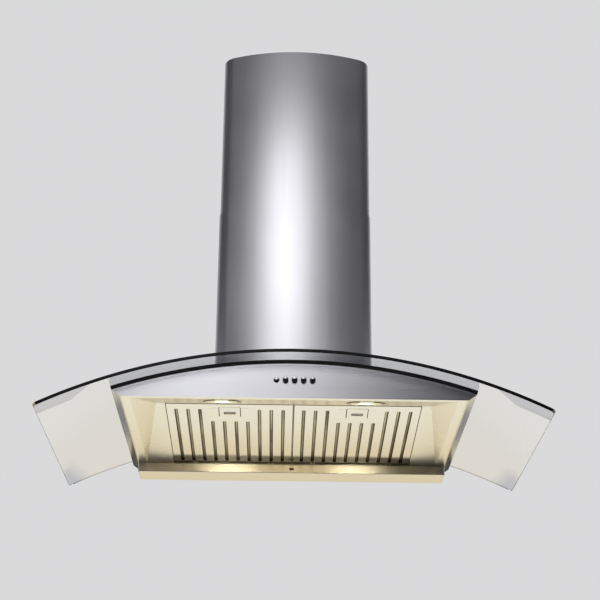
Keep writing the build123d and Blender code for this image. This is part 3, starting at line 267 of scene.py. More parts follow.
def screen(name, middle, facing, width, height, hidden=MIRROR_ONLY):
    """A flat studio screen that looks towards a point, with its own shader to light it."""
    middle, facing = Vector(middle), Vector(facing)
    bpy.ops.mesh.primitive_plane_add(size=1)
    made = bpy.context.object
    made.name = name
    turn = (facing - middle).to_track_quat("Z", "Y").to_matrix().to_4x4()
    size = Matrix.Diagonal((width, height, 1, 1))
    made.data.transform(Matrix.Translation(middle) @ turn @ size)
    made.visible_camera = False
    for kind in hidden:
        setattr(made, "visible_" + kind, False)
    material, shader, place = start(name, Base_Color=BLACK, Roughness=1.0, Emission_Strength=1.0)
    made.data.materials.append(material)
    return shader, place


print("most screens are hidden from:", ", ".join(MIRROR_ONLY))

# %% [markdown]
# ## The cool light in front
# A tall screen carries a soft white light a little to the left. It makes the chimney's broad
# bright stripe: squarish at its core, running out slowly, and leaning as the photograph's does.
# A small screen near the fascia does the same for its bright left end.

# %% Front screens
LIGHT_X, LIGHT_WIDE, LEAN, FLARE = -0.26, 0.74, 0.08, 0.16

shader, place = screen("front_screen", (0, -3.6, 1.4), (0, 0, 1.4), 8.0, 5.2, NO_LIGHT)
across, _, up = parts_of(place)
side = (across + up * LEAN - LIGHT_X) / (up * FLARE + LIGHT_WIDE)
tall = ramp(up * 0.25, (0.30, 0.66), (0.42, 1.0), (0.505, 1.0), (0.56, 0.01))
core = (side * side * side * side + 1) ** -1.5 * tall
beside = across - LIGHT_X
spread = (beside * beside * 0.6 + 1) ** -1.0
level = (core * 3.2 + spread * 0.17) * 0.25
cool = ramp(level, (0.0, (0.035, 0.035, 0.04)), (1.0, (4.0, 4.0, 4.08)))
low = ramp(up * -1.0, (0.05, 0.0), (0.30, 1.0))
feed(shader, Emission_Color=blend_colours(low, cool, (0.10, 0.095, 0.09, 1)))

shader, place = screen("fascia_screen", (0, -1.0, -0.23), (0, -0.46, -0.23), 1.4, 0.38, NO_LIGHT)
fade = ramp(parts_of(place)[0] + 0.5, (0.02, 0.42), (0.10, 0.72), (0.23, 1.0), (0.35, 1.0),
            (0.51, 0.78), (0.62, 0.46), (0.73, 0.22), (0.84, 0.10), (0.92, 0.05))
feed(shader, Emission_Color=blend_colours(fade, BLACK, (1.12, 1.12, 1.16, 1)))
print("front light", LIGHT_WIDE, "m wide to each side, at x =", LIGHT_X)

# %% [markdown]
# ## Grey screens
# Deep grey screens give polished steel its dark edges. Those at the sides are paler at the
# height of the chimney, the one behind the body fades downwards, and two dark ones below and
# before the hood keep its underside from mirroring the pale floor.

# %% Side, back and low screens
for name, sign in (("left_screen", -1), ("right_screen", 1)):
    shader, place = screen(name, (sign * 3.4, -0.6, 1.0), (0, -0.6, 1.0), 6.0, 5.8)
    _, deep, up = parts_of(place)
    pale = ramp((up + 2.0) * 0.25, (0.16, 0.0), (0.30, 1.0), (0.66, 1.0), (0.80, 0.0))
    soft = pale * ramp(deep * 0.25 + 0.5, (0.0, 0.45), (0.45, 1.0), (0.9, 0.6))
    feed(shader, Emission_Color=blend_colours(soft, GREY, SOFT))

shader, place = screen("back_screen", (0, 0.13, -0.18), (0, -1.0, -0.18), 3.0, 0.36)
feed(shader, Emission_Color=ramp(parts_of(place)[2] * -1.0, (0.0, SOFT[:3]), (0.30, GREY[:3])))

for name, middle, facing, height, colour in (
        ("low_screen", (0, -3.3, -1.50), (0, 0, -1.50), 0.70, DEEP),
        ("foot_screen", (0, -1.75, -1.85), (0, -1.75, 0), 3.1, (0.010, 0.006, 0.002, 1))):
    shader, _ = screen(name, middle, facing, 7.0, height)
    shader.inputs["Emission Color"].default_value = colour

# %% [markdown]
# ## Warm screens
# The lamps light the wall and the hob below a hood, and both shine back warmly into its
# underside. One screen stands for the wall, whose top edge lies in the hood's own shadow at both
# sides. A narrow one below the fascia stands for the hob; the trough's front mirrors it.

# %% Wall and hob
HOB_SPAN = 0.70

shader, place = screen("warm_screen", (0, 0.12, -1.13), (0, -1.0, -1.13), 3.0, 1.54)
across, _, up = parts_of(place)
down = up * -1.0
glow = ramp(down, (0.36, (1.10, 0.94, 0.58)), (0.467, (1.07, 0.92, 0.59)),
            (0.49, (1.14, 1.01, 0.69)), (0.515, (1.21, 1.11, 0.82)),
            (0.56, (1.27, 1.20, 0.95)), (1.0, (1.25, 1.20, 1.0)))
aside = ramp(down, (0.425, (0.03, 0.03, 0.02)), (0.44, (0.15, 0.13, 0.09)),
             (0.455, (1.07, 0.92, 0.59)), (0.50, (1.15, 1.04, 0.72)), (0.56, (1.27, 1.20, 0.95)))
outside = ramp(across.math("ABSOLUTE"), (0.385, 0.0), (0.415, 1.0))
feed(shader, Emission_Color=blend_colours(outside, glow, aside))

shader, place = screen("hob_screen", (0, -0.456, -0.41), (0, 0, -0.41), 0.9, 0.11)
hob = ramp(parts_of(place)[0] / HOB_SPAN + 0.5, (0.086, 0.12), (0.143, 0.30), (0.186, 0.5),
           (0.243, 0.8), (0.36, 1.0), (0.657, 1.0), (0.75, 0.5), (0.81, 0.2), (0.886, 0.03))
feed(shader, Emission_Color=blend_colours(hob, BLACK, (2.45, 1.93, 0.95, 1)))

# %% [markdown]
# ## The lamps' light
# The two lamps throw a hot spot on the grease trough behind them. Each gets a small warm disc
# light with a narrow spread, aimed level at the trough from just in front of its own glass.

# %% Lamp light
LAMP_GLOW, GLOW_SIZE, GLOW_SPREAD = 0.0085, 36 * MM, math.radians(24)
LAMP_X, GLOW_Y, GLOW_Z = 0.128, -0.405, -0.3425

towards_trough = Vector((0, 1, -0.05)).to_track_quat("-Z", "Y").to_matrix().to_4x4()
for name, x in (("left_glow", -LAMP_X), ("right_glow", LAMP_X)):
    light = bpy.data.objects.new(name, bpy.data.lights.new(name, "AREA"))
    light.data.shape = "DISK"
    light.data.size = GLOW_SIZE
    light.data.energy = LAMP_GLOW
    light.data.color = (1.0, 0.86, 0.55)
    light.data.spread = GLOW_SPREAD
    light.matrix_world = Matrix.Translation((x, GLOW_Y, GLOW_Z)) @ towards_trough
    bpy.context.scene.collection.objects.link(light)
    light.visible_camera = False

# %% [markdown]
# ## Brushed stainless steel
# The sheet is rolled and then brushed along one direction, which leaves fine parallel
# scratches. Noise that is stretched hundreds of times along the brushing gives those streaks.
# They drive the roughness and a very shallow bump, and a slow cloud of the same noise keeps a
# large sheet from looking computed.

# %% Brushed steel
GRAIN_ACROSS, GRAIN_UP = (1.5, 500, 500), (500, 500, 1.5)


def brushed_steel(name, grain, colour=(0.60, 0.60, 0.62), rough=0.30, tint=0.02, lift=0.000003,
                  spread=0.0, uneven=0.10):
    """Brushed sheet. Tint and uneven say how far the streaks take colour and roughness, lift is
    their depth in metres, and spread pulls highlights out across them."""
    material, shader, place = start(name, Metallic=1.0, Anisotropic=spread)
    streaks = noise(stretch(place, grain), 1.0, 4.0, 0.6)
    cloud = noise(place, 9.0, 2.0)
    feed(shader, Base_Color=ramp(streaks * 0.7 + cloud * 0.3, (0.35, shade(colour, 1 - tint)),
                                 (0.65, shade(colour, 1 + tint))),
         Roughness=vary(rough, (streaks, uneven), (cloud, 0.06)),
         Normal=bump(streaks, 0.4, lift))
    return material


chimney_steel = brushed_steel("chimney_steel", GRAIN_UP, rough=0.31, spread=0.7)
body_steel = brushed_steel("body_steel", GRAIN_ACROSS, (0.63, 0.63, 0.65), rough=0.21,
                           lift=0.0000006)
filter_steel = brushed_steel("filter_steel", GRAIN_ACROSS, rough=0.14, lift=0.000002)
pan_steel = brushed_steel("pan_steel", GRAIN_ACROSS, (0.62, 0.62, 0.63), rough=0.28, tint=0.006,
                          lift=0.0000008, uneven=0.02)
# The casing's steel is a darker, browner copy of the same sheet: painted shade for its dark side
# strips.
casing_steel = brushed_steel("casing_steel", GRAIN_ACROSS, (0.50, 0.49, 0.47), rough=0.17,
                             tint=0.006, lift=0.0000008, uneven=0.02)
trough_steel = brushed_steel("trough_steel", GRAIN_ACROSS, rough=0.35)
print("steels:", [m.name for m in bpy.data.materials if m.name.endswith("_steel")])

# %% [markdown]
# ## Zinc, plastic, rubber and turned metal
# What hides inside a hood is made cheaply: sheet dipped in zinc, parts moulded in plastic, cast
# motor and lamp housings, plated screws. Each process leaves its own pattern, so each finish
# starts from one: flat crystals, the grain of a mould, sand-like casting skin, turning rings.

# %% Other finishes
def plain_metal(name, colour, rough, grain=400.0, depth=0.00001, worn=0.10):
    """Unbrushed metal: fine grain, with a slow cloud of wear."""
    material, shader, place = start(name, Metallic=1.0)
    fine, cloud = noise(place, grain, 3.0), noise(place, 14.0, 3.0, 0.6)
    feed(shader, Base_Color=ramp(cloud, (0.3, shade(colour, 1 - worn)), (0.7, colour)),
         Roughness=vary(rough, (fine, 0.10), (cloud, 0.08)), Normal=bump(fine, 0.5, depth))
    return material


def galvanised(name):
    """Zinc-coated sheet, with the flat crystals of the zinc bath."""
    material, shader, place = start(name, Metallic=1.0)
    crystal = place.node("ShaderNodeTexVoronoi", {}, {"Vector": place, "Scale": 90.0}, out=1)
    tone = parts_of(crystal)[0]
    feed(shader, Base_Color=ramp(tone, (0.0, (0.46, 0.47, 0.48)), (1.0, (0.62, 0.63, 0.64))),
         Roughness=vary(0.43, (tone, 0.18)), Normal=bump(noise(place, 260.0), 0.4, 0.00001))
    return material


def moulded(name, colour, rough=0.45, grain=1400.0):
    """Moulded plastic or rubber with the fine spark-eroded grain of its mould."""
    material, shader, place = start(name, Specular_IOR_Level=0.25)
    skin, cloud = noise(place, grain, 2.0), noise(place, 20.0, 2.0)
    pale = tuple(c * 1.25 + 0.004 for c in colour)
    feed(shader, Base_Color=ramp(skin * 0.5 + cloud * 0.5, (0.35, colour), (0.65, pale)),
         Roughness=vary(rough, (cloud, 0.12)), Normal=bump(skin, 0.6, 0.00003))
    return material


def turned_metal(name, colour, rough):
    """Plated screws and pins, with the faint rings of the turning tool."""
    material, shader, place = start(name, Metallic=1.0)
    rings = place.node("ShaderNodeTexWave", {"wave_type": "RINGS"},
                       {"Vector": place, "Scale": 900.0, "Distortion": 1.5})
    cloud = noise(place, 60.0)
    feed(shader, Base_Color=ramp(cloud, (0.3, shade(colour, 0.86)), (0.7, colour)),
         Roughness=vary(rough, (cloud, 0.14)), Normal=bump(rings, 0.3, 0.00001))
    return material


zinc_sheet = galvanised("zinc_sheet")
black_plastic = moulded("black_plastic", (0.022, 0.022, 0.024), 0.42)
grey_plastic = moulded("grey_plastic", (0.40, 0.41, 0.42), 0.48)
seal_rubber = moulded("seal_rubber", (0.006, 0.006, 0.006), 0.60, 700.0)
board_white = moulded("lamp_board", (0.62, 0.61, 0.58), 0.5)
cast_metal = plain_metal("cast_metal", (0.66, 0.67, 0.68), 0.46, 220.0, 0.00006)
# The filter frames are nearly black: painted shade in the gaps round the filters, over a cloud of
# wear.
frame_grease_and_shade = plain_metal("frame_grease_and_shade", (0.05, 0.04, 0.024), 0.42, 300.0, 0.00003, 0.3)
spring_steel = plain_metal("spring_steel", (0.42, 0.41, 0.40), 0.30, 500.0)
screw_metal = turned_metal("screw_metal", (0.66, 0.66, 0.67), 0.28)
print("finishes so far:", len(bpy.data.materials))

# %% [markdown]
# ## Dressing the inner pieces
# These pieces keep their settled shape. Most are seen only from above, from behind or with a
# filter down, so each group of them gets the finish of the process that makes it.

# %% Dress the carried-over pieces
dress(zinc_sheet, "wall_bracket", "pan_blocks", "filter_rail", "glass_clamps", "blower_box",
      "motor_bracket", "lower_chimney_tabs", "chimney_bracket")
dress(screw_metal, "bracket_screws", "pan_screws", "glass_screws", "motor_shaft",
      "lower_chimney_screws", "upper_chimney_screws")
dress(black_plastic, "blower_scroll", "inlet_rings", "outlet_adapter", "outlet_collar",
      "damper_flap_rear", "damper_flap_front", "cable_gland", "switch_housing")
dress(grey_plastic, "impeller", "run_capacitor", "terminal_box", "lamp_driver")
dress(seal_rubber, "glass_grommets")
dress(cast_metal, "blower_motor", "left_lamp_housing", "right_lamp_housing")
dress(board_white, "left_lamp_board", "right_lamp_board")
dress(frame_grease_and_shade, "left_filter_frame", "right_filter_frame")
dress(spring_steel, "left_latch_spring", "right_latch_spring", "trough_clips")

# %% [markdown]
# ## Baffles behind the slots
# A baffle makes the air turn, so that its grease strikes the metal and stays there. Through a
# slot one sees a bright oily streak between two dark edges. The dark edges and a darkening
# towards the back are painted shade. A sawtooth that counts the slots across the filter places
# that streak in the middle of each, and noise breaks it up.

# %% Filter baffles
SLOT_PITCH, FILTER_X = 21.8 * MM, 117 * MM
SLOT_SHADE, OILY = (0.06, 0.045, 0.02, 1), (0.42, 0.40, 0.31, 1)
WHOLE_TURNS = 20.0

shaded_baffle, shader, place = start("baffle_oil_and_painted_shade", Metallic=1.0)
across, deep, up = parts_of(place)
row = ((across.math("ABSOLUTE") - FILTER_X) / SLOT_PITCH + WHOLE_TURNS).math("FRACT")
off = (row - 0.5).math("ABSOLUTE") * (SLOT_PITCH / MM)
smear = noise(stretch(place, (46, 4, 46)), 1.0, 3.0)
# Painted shade: dark at each slot's edges (middle) and towards the back of the filter (depth).
middle = ramp(off * 0.2, (0.16, 1.0), (0.42, 0.0)) * ramp(smear, (0.36, 0.10), (0.58, 1.0))
depth = ramp(deep * -1.0, (0.07, 0.25), (0.26, 1.0))
speckle = noise(place, 300.0)
feed(shader, Base_Color=blend_colours(middle * depth, SLOT_SHADE, OILY),
     Roughness=vary(0.40, (speckle, 0.12)), Normal=bump(speckle, 0.4, 0.00002))
dress(shaded_baffle, "left_filter_baffle", "right_filter_baffle")

# %% [markdown]
# ## Working by hand in code
# A person at the screen selects what they see. A script selects by place and direction instead,
# so one helper goes through the faces, edges or points of the piece in hand and keeps those that
# pass a small test.

# %% Selecting
def nothing_in_hand():
    """Leave edit mode and select nothing."""
    if bpy.context.mode != "OBJECT":
        bpy.ops.object.mode_set(mode="OBJECT")
    bpy.ops.object.select_all(action="DESELECT")


def alone(piece):
    """Make one piece active and the only one selected."""
    nothing_in_hand()
    piece.select_set(True)
    bpy.context.view_layer.objects.active = piece


def begin(name, primitive, **sizes):
    """Add a primitive under a name and open it in edit mode."""
    nothing_in_hand()
    primitive(**sizes)
    piece = bpy.context.object
    piece.name = name
    bpy.ops.object.mode_set(mode="EDIT")
    return piece


def pick(kind, test):
    """In edit mode, select only the faces, edges or points that pass a test of place and
    direction, and tell how many they are."""
    bpy.ops.mesh.select_mode(type=kind)
    bpy.ops.mesh.select_all(action="DESELECT")
    mesh = bmesh.from_edit_mesh(bpy.context.object.data)
    if kind == "FACE":
        chosen = [f for f in mesh.faces if test(f.calc_center_median(), f.normal)]
    elif kind == "EDGE":
        chosen = []
        for edge in mesh.edges:
            a, b = (v.co for v in edge.verts)
            if test((a + b) / 2, (b - a).normalized()):
                chosen.append(edge)
    else:
        chosen = [v for v in mesh.verts if test(v.co, v.normal)]
    for part in chosen:
        part.select_set(True)
    bmesh.update_edit_mesh(bpy.context.object.data)
    return len(chosen)


def near(a, b, slack=0.05 * MM):
    return abs(a - b) < slack


print("selecting:", ", ".join(f.__name__ for f in (alone, begin, pick, near)))

# %% [markdown]
# ## The workshop's tools
# Sheet-metal work needs few tools: a blank, a pull, a rounded edge, a punch, and a stamp for
# repeats. A lathe adds turned pieces. Each is one short function on Blender's own operators.

# %% Shaping
def slab(name, x0, x1, y0, y1, z0, z1):
    """A box between two corners, open in edit mode."""
    piece = begin(name, bpy.ops.mesh.primitive_cube_add, size=1,
                  location=((x0 + x1) / 2, (y0 + y1) / 2, (z0 + z1) / 2))
    bpy.ops.object.mode_set(mode="OBJECT")
    piece.scale = (x1 - x0, y1 - y0, z1 - z0)
    bpy.ops.object.transform_apply(location=True, rotation=True, scale=True)
    bpy.ops.object.mode_set(mode="EDIT")
    return piece


def move_out(step):
    """Extrude what is selected by a step."""
    bpy.ops.mesh.extrude_region_move(TRANSFORM_OT_translate={"value": step})


def soften(width, segments=3, kind="EDGES"):
    """Bevel the selected edges or points."""
    bpy.ops.mesh.bevel(offset=width, offset_pct=0, segments=segments, profile=0.5, affect=kind)


def cut_lines(places):
    """Cut the sheet in hand along upright planes, each given as ("x" or "y", place)."""
    for axis, at in places:
        bpy.ops.mesh.select_all(action="SELECT")
        place, facing = ((at, 0, 0), (1, 0, 0)) if axis == "x" else ((0, at, 0), (0, 1, 0))
        bpy.ops.mesh.bisect(plane_co=place, plane_no=facing)


def modify(piece, kind, **settings):
    """Add a modifier with its settings and apply it."""
    alone(piece)
    made = piece.modifiers.new(kind.lower(), kind)
    for name, value in settings.items():
        setattr(made, name, value)
    bpy.ops.object.modifier_apply(modifier=made.name)


def carve(piece, cutter):
    """Cut one piece with another and throw the tool away."""
    modify(piece, "BOOLEAN", object=cutter, operation="DIFFERENCE", solver="EXACT")
    bpy.data.objects.remove(cutter)


def round_edges(piece, width, segments=2, angle=35):
    modify(piece, "BEVEL", width=width, segments=segments, limit_method="ANGLE",
           angle_limit=math.radians(angle), use_clamp_overlap=True)


def twin(piece, name, matrix=Matrix.Identity(4)):
    """A copy with its own mesh, put in its place."""
    alone(piece)
    made = piece.copy()
    made.data = piece.data.copy()
    made.name = name
    bpy.context.scene.collection.objects.link(made)
    made.data.transform(matrix)
    return made


def turned(name, profile, seat, segments=48):
    """A turned piece: rings of (radius, height) in mm, drawn out one after the other."""
    radius, height = profile[0]
    piece = begin(name, bpy.ops.mesh.primitive_circle_add, vertices=segments, radius=radius * MM,
                  location=(0, 0, height * MM))
    bpy.ops.mesh.select_all(action="SELECT")
    for next_radius, next_height in profile[1:]:
        grow = next_radius / radius
        move_out((0, 0, (next_height - height) * MM))
        bpy.ops.transform.resize(value=(grow, grow, 1), center_override=(0, 0, 0))
        radius, height = next_radius, next_height
    if profile[0] != profile[-1]:
        bpy.ops.mesh.edge_face_add()
        first = profile[0][0] * MM
        pick("EDGE", lambda c, d: near(c.z, 0, 1e-7) and near(c.to_2d().length, first, 0.1 * MM))
        bpy.ops.mesh.edge_face_add()
    bpy.ops.mesh.select_all(action="SELECT")
    bpy.ops.mesh.remove_doubles(threshold=0.002 * MM)
    bpy.ops.mesh.normals_make_consistent(inside=False)
    bpy.ops.object.mode_set(mode="OBJECT")
    piece.data.transform(seat @ piece.matrix_world)
    piece.matrix_world = Matrix.Identity(4)
    return piece


print("tools:", ", ".join(f.__name__ for f in (slab, move_out, soften, cut_lines, carve,
                                               round_edges, twin, turned)))

# %% [markdown]
# ## Handing a piece over
# A finished piece is smoothed up to a fold angle, gets its material, rides on the body that
# carries it and takes the place of the settled piece. Its volume is printed, because a piece
# whose faces point inwards has a negative one and is turned round.

# %% Handing over
CUBIC_MM = MM**3


def hand_over(piece, body, material, slot, *replaced, angle=32):
    """Smooth a finished piece, give it its material, and let it ride on its body."""
    alone(piece)
    bpy.ops.object.transform_apply(location=True, rotation=True, scale=True)
    mesh = bmesh.new()
    mesh.from_mesh(piece.data)
    volume = mesh.calc_volume(signed=True) / CUBIC_MM
    mesh.free()
    if volume < 0:
        piece.data.flip_normals()
    bpy.ops.object.shade_smooth_by_angle(angle=math.radians(angle))
    modify(piece, "WEIGHTED_NORMAL", keep_sharp=True)
    piece.data.materials.clear()
    piece.data.materials.append(material)
    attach(piece, body)
    if replaced:
        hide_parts(*replaced)
    piece.data.calc_loop_triangles()
    print(piece.name, "on", body, "with", len(piece.data.loop_triangles), "triangles,",
          round(volume), "mm3")


print("a finished piece goes through", hand_over.__name__)

# %% [markdown]
# ## Rounded folds
# A press brake can't fold sheet to a knife edge, so every fold of the chimney and of the body
# has a small radius that catches a thin line of light. The settled shapes are sharp. So each of
# these pieces is copied, its flat faces are merged, and its edges are rounded by a bevel. The
# casing and the pan have shallow folds, which only stay crisp under a small fold angle.

# %% Chimney, fascia, casing and pan
SHALLOW = 10


def rounded(node, body, material, width, segments=3, angle=30):
    """A copy of a carried-over piece with its folds rounded; the width is in mm."""
    piece = twin(nodes[node], node + "_sheet")
    alone(piece)
    bpy.ops.object.mode_set(mode="EDIT")
    bpy.ops.mesh.select_all(action="SELECT")
    bpy.ops.mesh.remove_doubles(threshold=0.005 * MM)
    bpy.ops.mesh.dissolve_limited(angle_limit=math.radians(0.5))
    bpy.ops.object.mode_set(mode="OBJECT")
    round_edges(piece, width * MM, segments, angle)
    hand_over(piece, body, material, "brushed_stainless", node, angle=angle)


rounded("chimney_upper", "chimney_upper", chimney_steel, 0.3, 2)
rounded("chimney_lower", "hood_body", chimney_steel, 0.3, 2)
rounded("front_fascia", "hood_body", body_steel, 0.4)
rounded("body_casing", "hood_body", casing_steel, 0.4, angle=SHALLOW)
rounded("underside_pan", "hood_body", pan_steel, 0.4, angle=SHALLOW)

# %% [markdown]
# ## Push buttons
# Each button is a small turned and chromed cap on a stem. A lathe makes it from bar, so here
# its outline is drawn out ring by ring, once, and copied. The first button stays latched in, so
# its cap stands lower. The caps' look is a painted reflection: a ramp over the cap's height
# paints them pale above and dark below, as chrome mirrors, even where the studio round them is
# plain.

# %% Buttons
BUTTON_PROFILE = [(2.6, -23.0), (3.0, -22.6), (3.0, -3.0), (3.4, -0.6), (3.9, 1.0), (4.6, 3.0),
                  (4.95, 4.6), (5.0, 5.6), (4.95, 6.3), (4.75, 7.0), (4.3, 7.7), (3.6, 8.3),
                  (2.7, 8.7), (1.7, 8.9), (0.8, 8.98), (0.3, 9.0)]
BUTTON_OUT = BUTTON_PROFILE[-1][1] * MM
BUTTON_SPAN = 10 * MM
OUTWARD = Matrix.Rotation(math.radians(90), 4, "X")


def middle_of(node):
    """The middle of a settled piece's box."""
    low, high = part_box(node)
    return (low + high) / 2


button_chrome, shader, place = start("button_chrome", Metallic=1.0)
# Painted reflection: dark below the cap's middle, pale and then white above it.
height = (parts_of(place)[2] - middle_of("button_1").z) / BUTTON_SPAN + 0.5
polish = noise(place, 600.0)
feed(shader, Base_Color=ramp(height, (0.40, (0.05, 0.05, 0.055)), (0.60, (0.70, 0.70, 0.72)),
                             (0.75, (1.0, 1.0, 1.0))),
     Roughness=vary(0.16, (polish, 0.08)), Normal=bump(polish, 0.3, 0.000002))

model = turned("button_model", BUTTON_PROFILE, OUTWARD)
for number in range(1, 6):
    node = f"button_{number}"
    seat = middle_of(node)
    seat.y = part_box(node)[0].y + BUTTON_OUT
    cap = twin(model, f"push_button_{number}", Matrix.Translation(seat))
    hand_over(cap, node, button_chrome, "bright_chrome", node)
bpy.data.objects.remove(model)

# %% [markdown]
# ## Lamps
# Two round halogen lamps sit in the sloping strip. A chromed ring holds a frosted glass disc,
# and only the middle of the disc glows, where the bulb is; round it the reflector stays dark.
# Both parts are turned. The glow is a ramp on the distance from the lamp's axis. The ring's
# nearer arc is painted dark, a painted reflection of the underside of the fascia.

# %% Lamp rings and glasses
RECESS_RISE, STRIP_RUN, FILTER_RUN = 23.5 * MM, 95 * MM, 296 * MM
STRIP_SLOPE = math.atan(RECESS_RISE / STRIP_RUN)
RING_R, RING_OUT, LAMP_SPAN = 35 * MM, 2 * MM, 30.0
RING_PROFILE = [(28.75, 0.0), (28.75, -1.2), (29.3, -1.8), (30.4, -1.98), (32.6, -1.75),
                (34.2, -1.1), (34.95, -0.15), (34.8, 0.0), (30.8, 0.0), (30.8, 5.0), (29.6, 5.0),
                (29.6, 0.2), (28.75, 0.0)]
GLASS_PROFILE = [(28.3, 1.7), (28.45, 1.5), (28.45, -0.3), (28.0, -0.9), (26.5, -1.1),
                 (20.0, -1.2), (12.0, -1.26), (5.0, -1.3), (1.5, -1.3)]

# The settled ring's lowest corner lies one radius down the slope and stands out of the strip.
tilt = Matrix.Rotation(STRIP_SLOPE, 4, "X")
lamp_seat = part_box("right_lamp_bezel")[0] + tilt.to_3x3() @ Vector((0, RING_R, RING_OUT))
lamp_seat.x = LAMP_X

lamp_glass, shader, place = start("lamp_glass", Roughness=0.35, Emission_Strength=1.0,
                                  Specular_IOR_Level=0.15)
across, deep, _ = parts_of(place)
aside = across.math("ABSOLUTE") - LAMP_X
behind = (deep - lamp_seat.y - 5 * MM) / math.cos(STRIP_SLOPE)
far = (aside * aside + behind * behind) ** 0.5 * LAMP_SPAN
frost = noise(place, 900.0) * 0.05
feed(shader, Base_Color=ramp(far + frost, (0.30, (0.62, 0.55, 0.40)), (0.55, (0.05, 0.045, 0.04)),
                             (0.9, (0.10, 0.09, 0.07))),
     Emission_Color=ramp(far, (0.0, (6.0, 5.4, 3.8)), (0.28, (4.0, 3.4, 2.2)),
                         (0.42, (0.75, 0.66, 0.44)), (0.60, (0.55, 0.50, 0.36))),
     Normal=bump(noise(place, 1500.0), 0.3, 0.00004))

lamp_ring, shader, place = start("lamp_ring", Metallic=1.0)
across, deep, _ = parts_of(place)
ends = (across.math("ABSOLUTE") - LAMP_X).math("ABSOLUTE") * LAMP_SPAN
# Painted reflection: the ring's front arcs, away from the lamp's middle, are painted nearly black.
painted_dark_arc = ramp(ends, (0.30, 0.0), (0.42, 1.0)) * (deep < lamp_seat.y - RING_OUT)
polish = noise(place, 500.0)
feed(shader, Base_Color=blend_colours(painted_dark_arc, (0.66, 0.64, 0.58, 1), (0.08, 0.07, 0.055, 1)),
     Roughness=vary(0.18, (polish, 0.08)), Normal=bump(polish, 0.3, 0.000002))

for side, sign in (("left", -1), ("right", 1)):
    seat = Matrix.Translation((sign * lamp_seat.x, lamp_seat.y, lamp_seat.z)) @ tilt
    ring = turned(f"{side}_lamp_ring", RING_PROFILE, seat, 64)
    hand_over(ring, "hood_body", lamp_ring, "bright_chrome", f"{side}_lamp_bezel")
    disc = turned(f"{side}_lamp_glass", GLASS_PROFILE, seat, 64)
    hand_over(disc, "hood_body", lamp_glass, "lamp_glass", f"{side}_lamp_lens")

# %% [markdown]
# ## Slotted filters
# The face of each filter is one steel sheet. A press punches ten slots in it, six long and four
# short to leave room for the latch, and rounds the slots' ends. So the sheet is a thin box, the
# punch is a row of bars with rounded corners, and every edge is broken a little afterwards.
# Both lie flat while they are made and are then tipped on to the slope.

# %% Filter faces
FILTER_SLOPE = math.atan(RECESS_RISE / FILTER_RUN)
FILTER_HALF, SHEET, SHEET_CORNER = 115.4 * MM, 1 * MM, 1.5 * MM
FILTER_BACK, FILTER_FRONT = 11 * MM, math.hypot(RECESS_RISE, FILTER_RUN)
SLOTS, SHORT_SLOTS = 10, range(3, 7)
SLOT_HALF, SLOT_BACK = 3.3 * MM, FILTER_BACK + 2.2 * MM
LONG_FRONT, SHORT_FRONT = FILTER_FRONT - 25 * MM, FILTER_FRONT - 81 * MM
FINGER_AT = FILTER_FRONT - 38 * MM
WINDOW_HALF, WINDOW_BACK, WINDOW_FRONT = 12.3 * MM, FINGER_AT - 13.8 * MM, FINGER_AT + 7.8 * MM
THROUGH = (-5 * MM, 5 * MM)
# Left, right, nearest to and farthest from the front edge, and depth, all in mm: the latch's
# pocket, the crease before it with its two ends, and the slits beside the latch.
CREASES = ((-19.4, 19.4, 15.7, 32, 0.6),
           (-33, 33, 19.2, 19.9, 0.35), (-34, -31, 18.2, 20.8, 0.35), (31, 34, 18.2, 20.8, 0.35),
           (-20.4, -19.2, 17, 58, 1.5), (19.2, 20.4, 17, 58, 1.5))

trough_low, trough_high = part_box("grease_trough")
RIM_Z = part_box("front_fascia")[0].z
ON_SLOPE = Matrix.Translation((0, trough_low.y, RIM_Z)) @ Matrix.Rotation(-FILTER_SLOPE, 4, "X")


def bar(name, across, along, height, corner):
    """An upright bar with rounded corners; along is measured up the filters' slope."""
    made = slab(name, *across, -along[1], -along[0], *height)
    pick("EDGE", lambda c, d: abs(d.z) > 0.9)
    soften(corner, 5)
    bpy.ops.object.mode_set(mode="OBJECT")
    return made


def filter_sheet():
    sheet = slab("filter_sheet", -FILTER_HALF, FILTER_HALF, -FILTER_FRONT + 2.4 * MM,
                 -FILTER_BACK, 0, SHEET)
    pick("EDGE", lambda c, d: abs(d.z) > 0.9)
    soften(SHEET_CORNER)
    bpy.ops.object.mode_set(mode="OBJECT")
    for i in range(SLOTS):
        x = (i - (SLOTS - 1) / 2) * SLOT_PITCH
        front = SHORT_FRONT if i in SHORT_SLOTS else LONG_FRONT
        carve(sheet, bar("punch", (x - SLOT_HALF, x + SLOT_HALF), (SLOT_BACK, front), THROUGH,
                         3.0 * MM))
    carve(sheet, bar("punch", (-WINDOW_HALF, WINDOW_HALF), (WINDOW_BACK, WINDOW_FRONT), THROUGH,
                     2 * MM))
    for x0, x1, t0, t1, deep in CREASES:
        along = (FILTER_FRONT - t1 * MM, FILTER_FRONT - t0 * MM)
        carve(sheet, bar("crease", (x0 * MM, x1 * MM), along, (-SHEET, deep * MM), 0.2 * MM))
    round_edges(sheet, 0.25 * MM)
    return sheet


def on_both_filters(model, name, body):
    """Stamp a model twice, on the left and the right filter, and let each copy ride."""
    for side, sign in (("left", -1), ("right", 1)):
        copy = twin(model, f"{side}_{name}",
                    ON_SLOPE @ Matrix.Translation((sign * FILTER_X, 0, 0)))
        yield copy, f"{side}_{body}", side
    bpy.data.objects.remove(model)


for sheet, body, side in on_both_filters(filter_sheet(), "slotted_sheet", "filter"):
    hand_over(sheet, body, filter_steel, "brushed_stainless", f"{side}_filter_face")

# %% [markdown]
# ## Latches
# A fingertip goes into a pressed cup and pulls the latch plate back. The plate is pressed from
# thin sheet: its cup is pushed up, its edge is turned up, its front slopes into the pocket, and
# the folds are rounded by the tool. A flat bar on top carries the leaf that snaps into the pan.

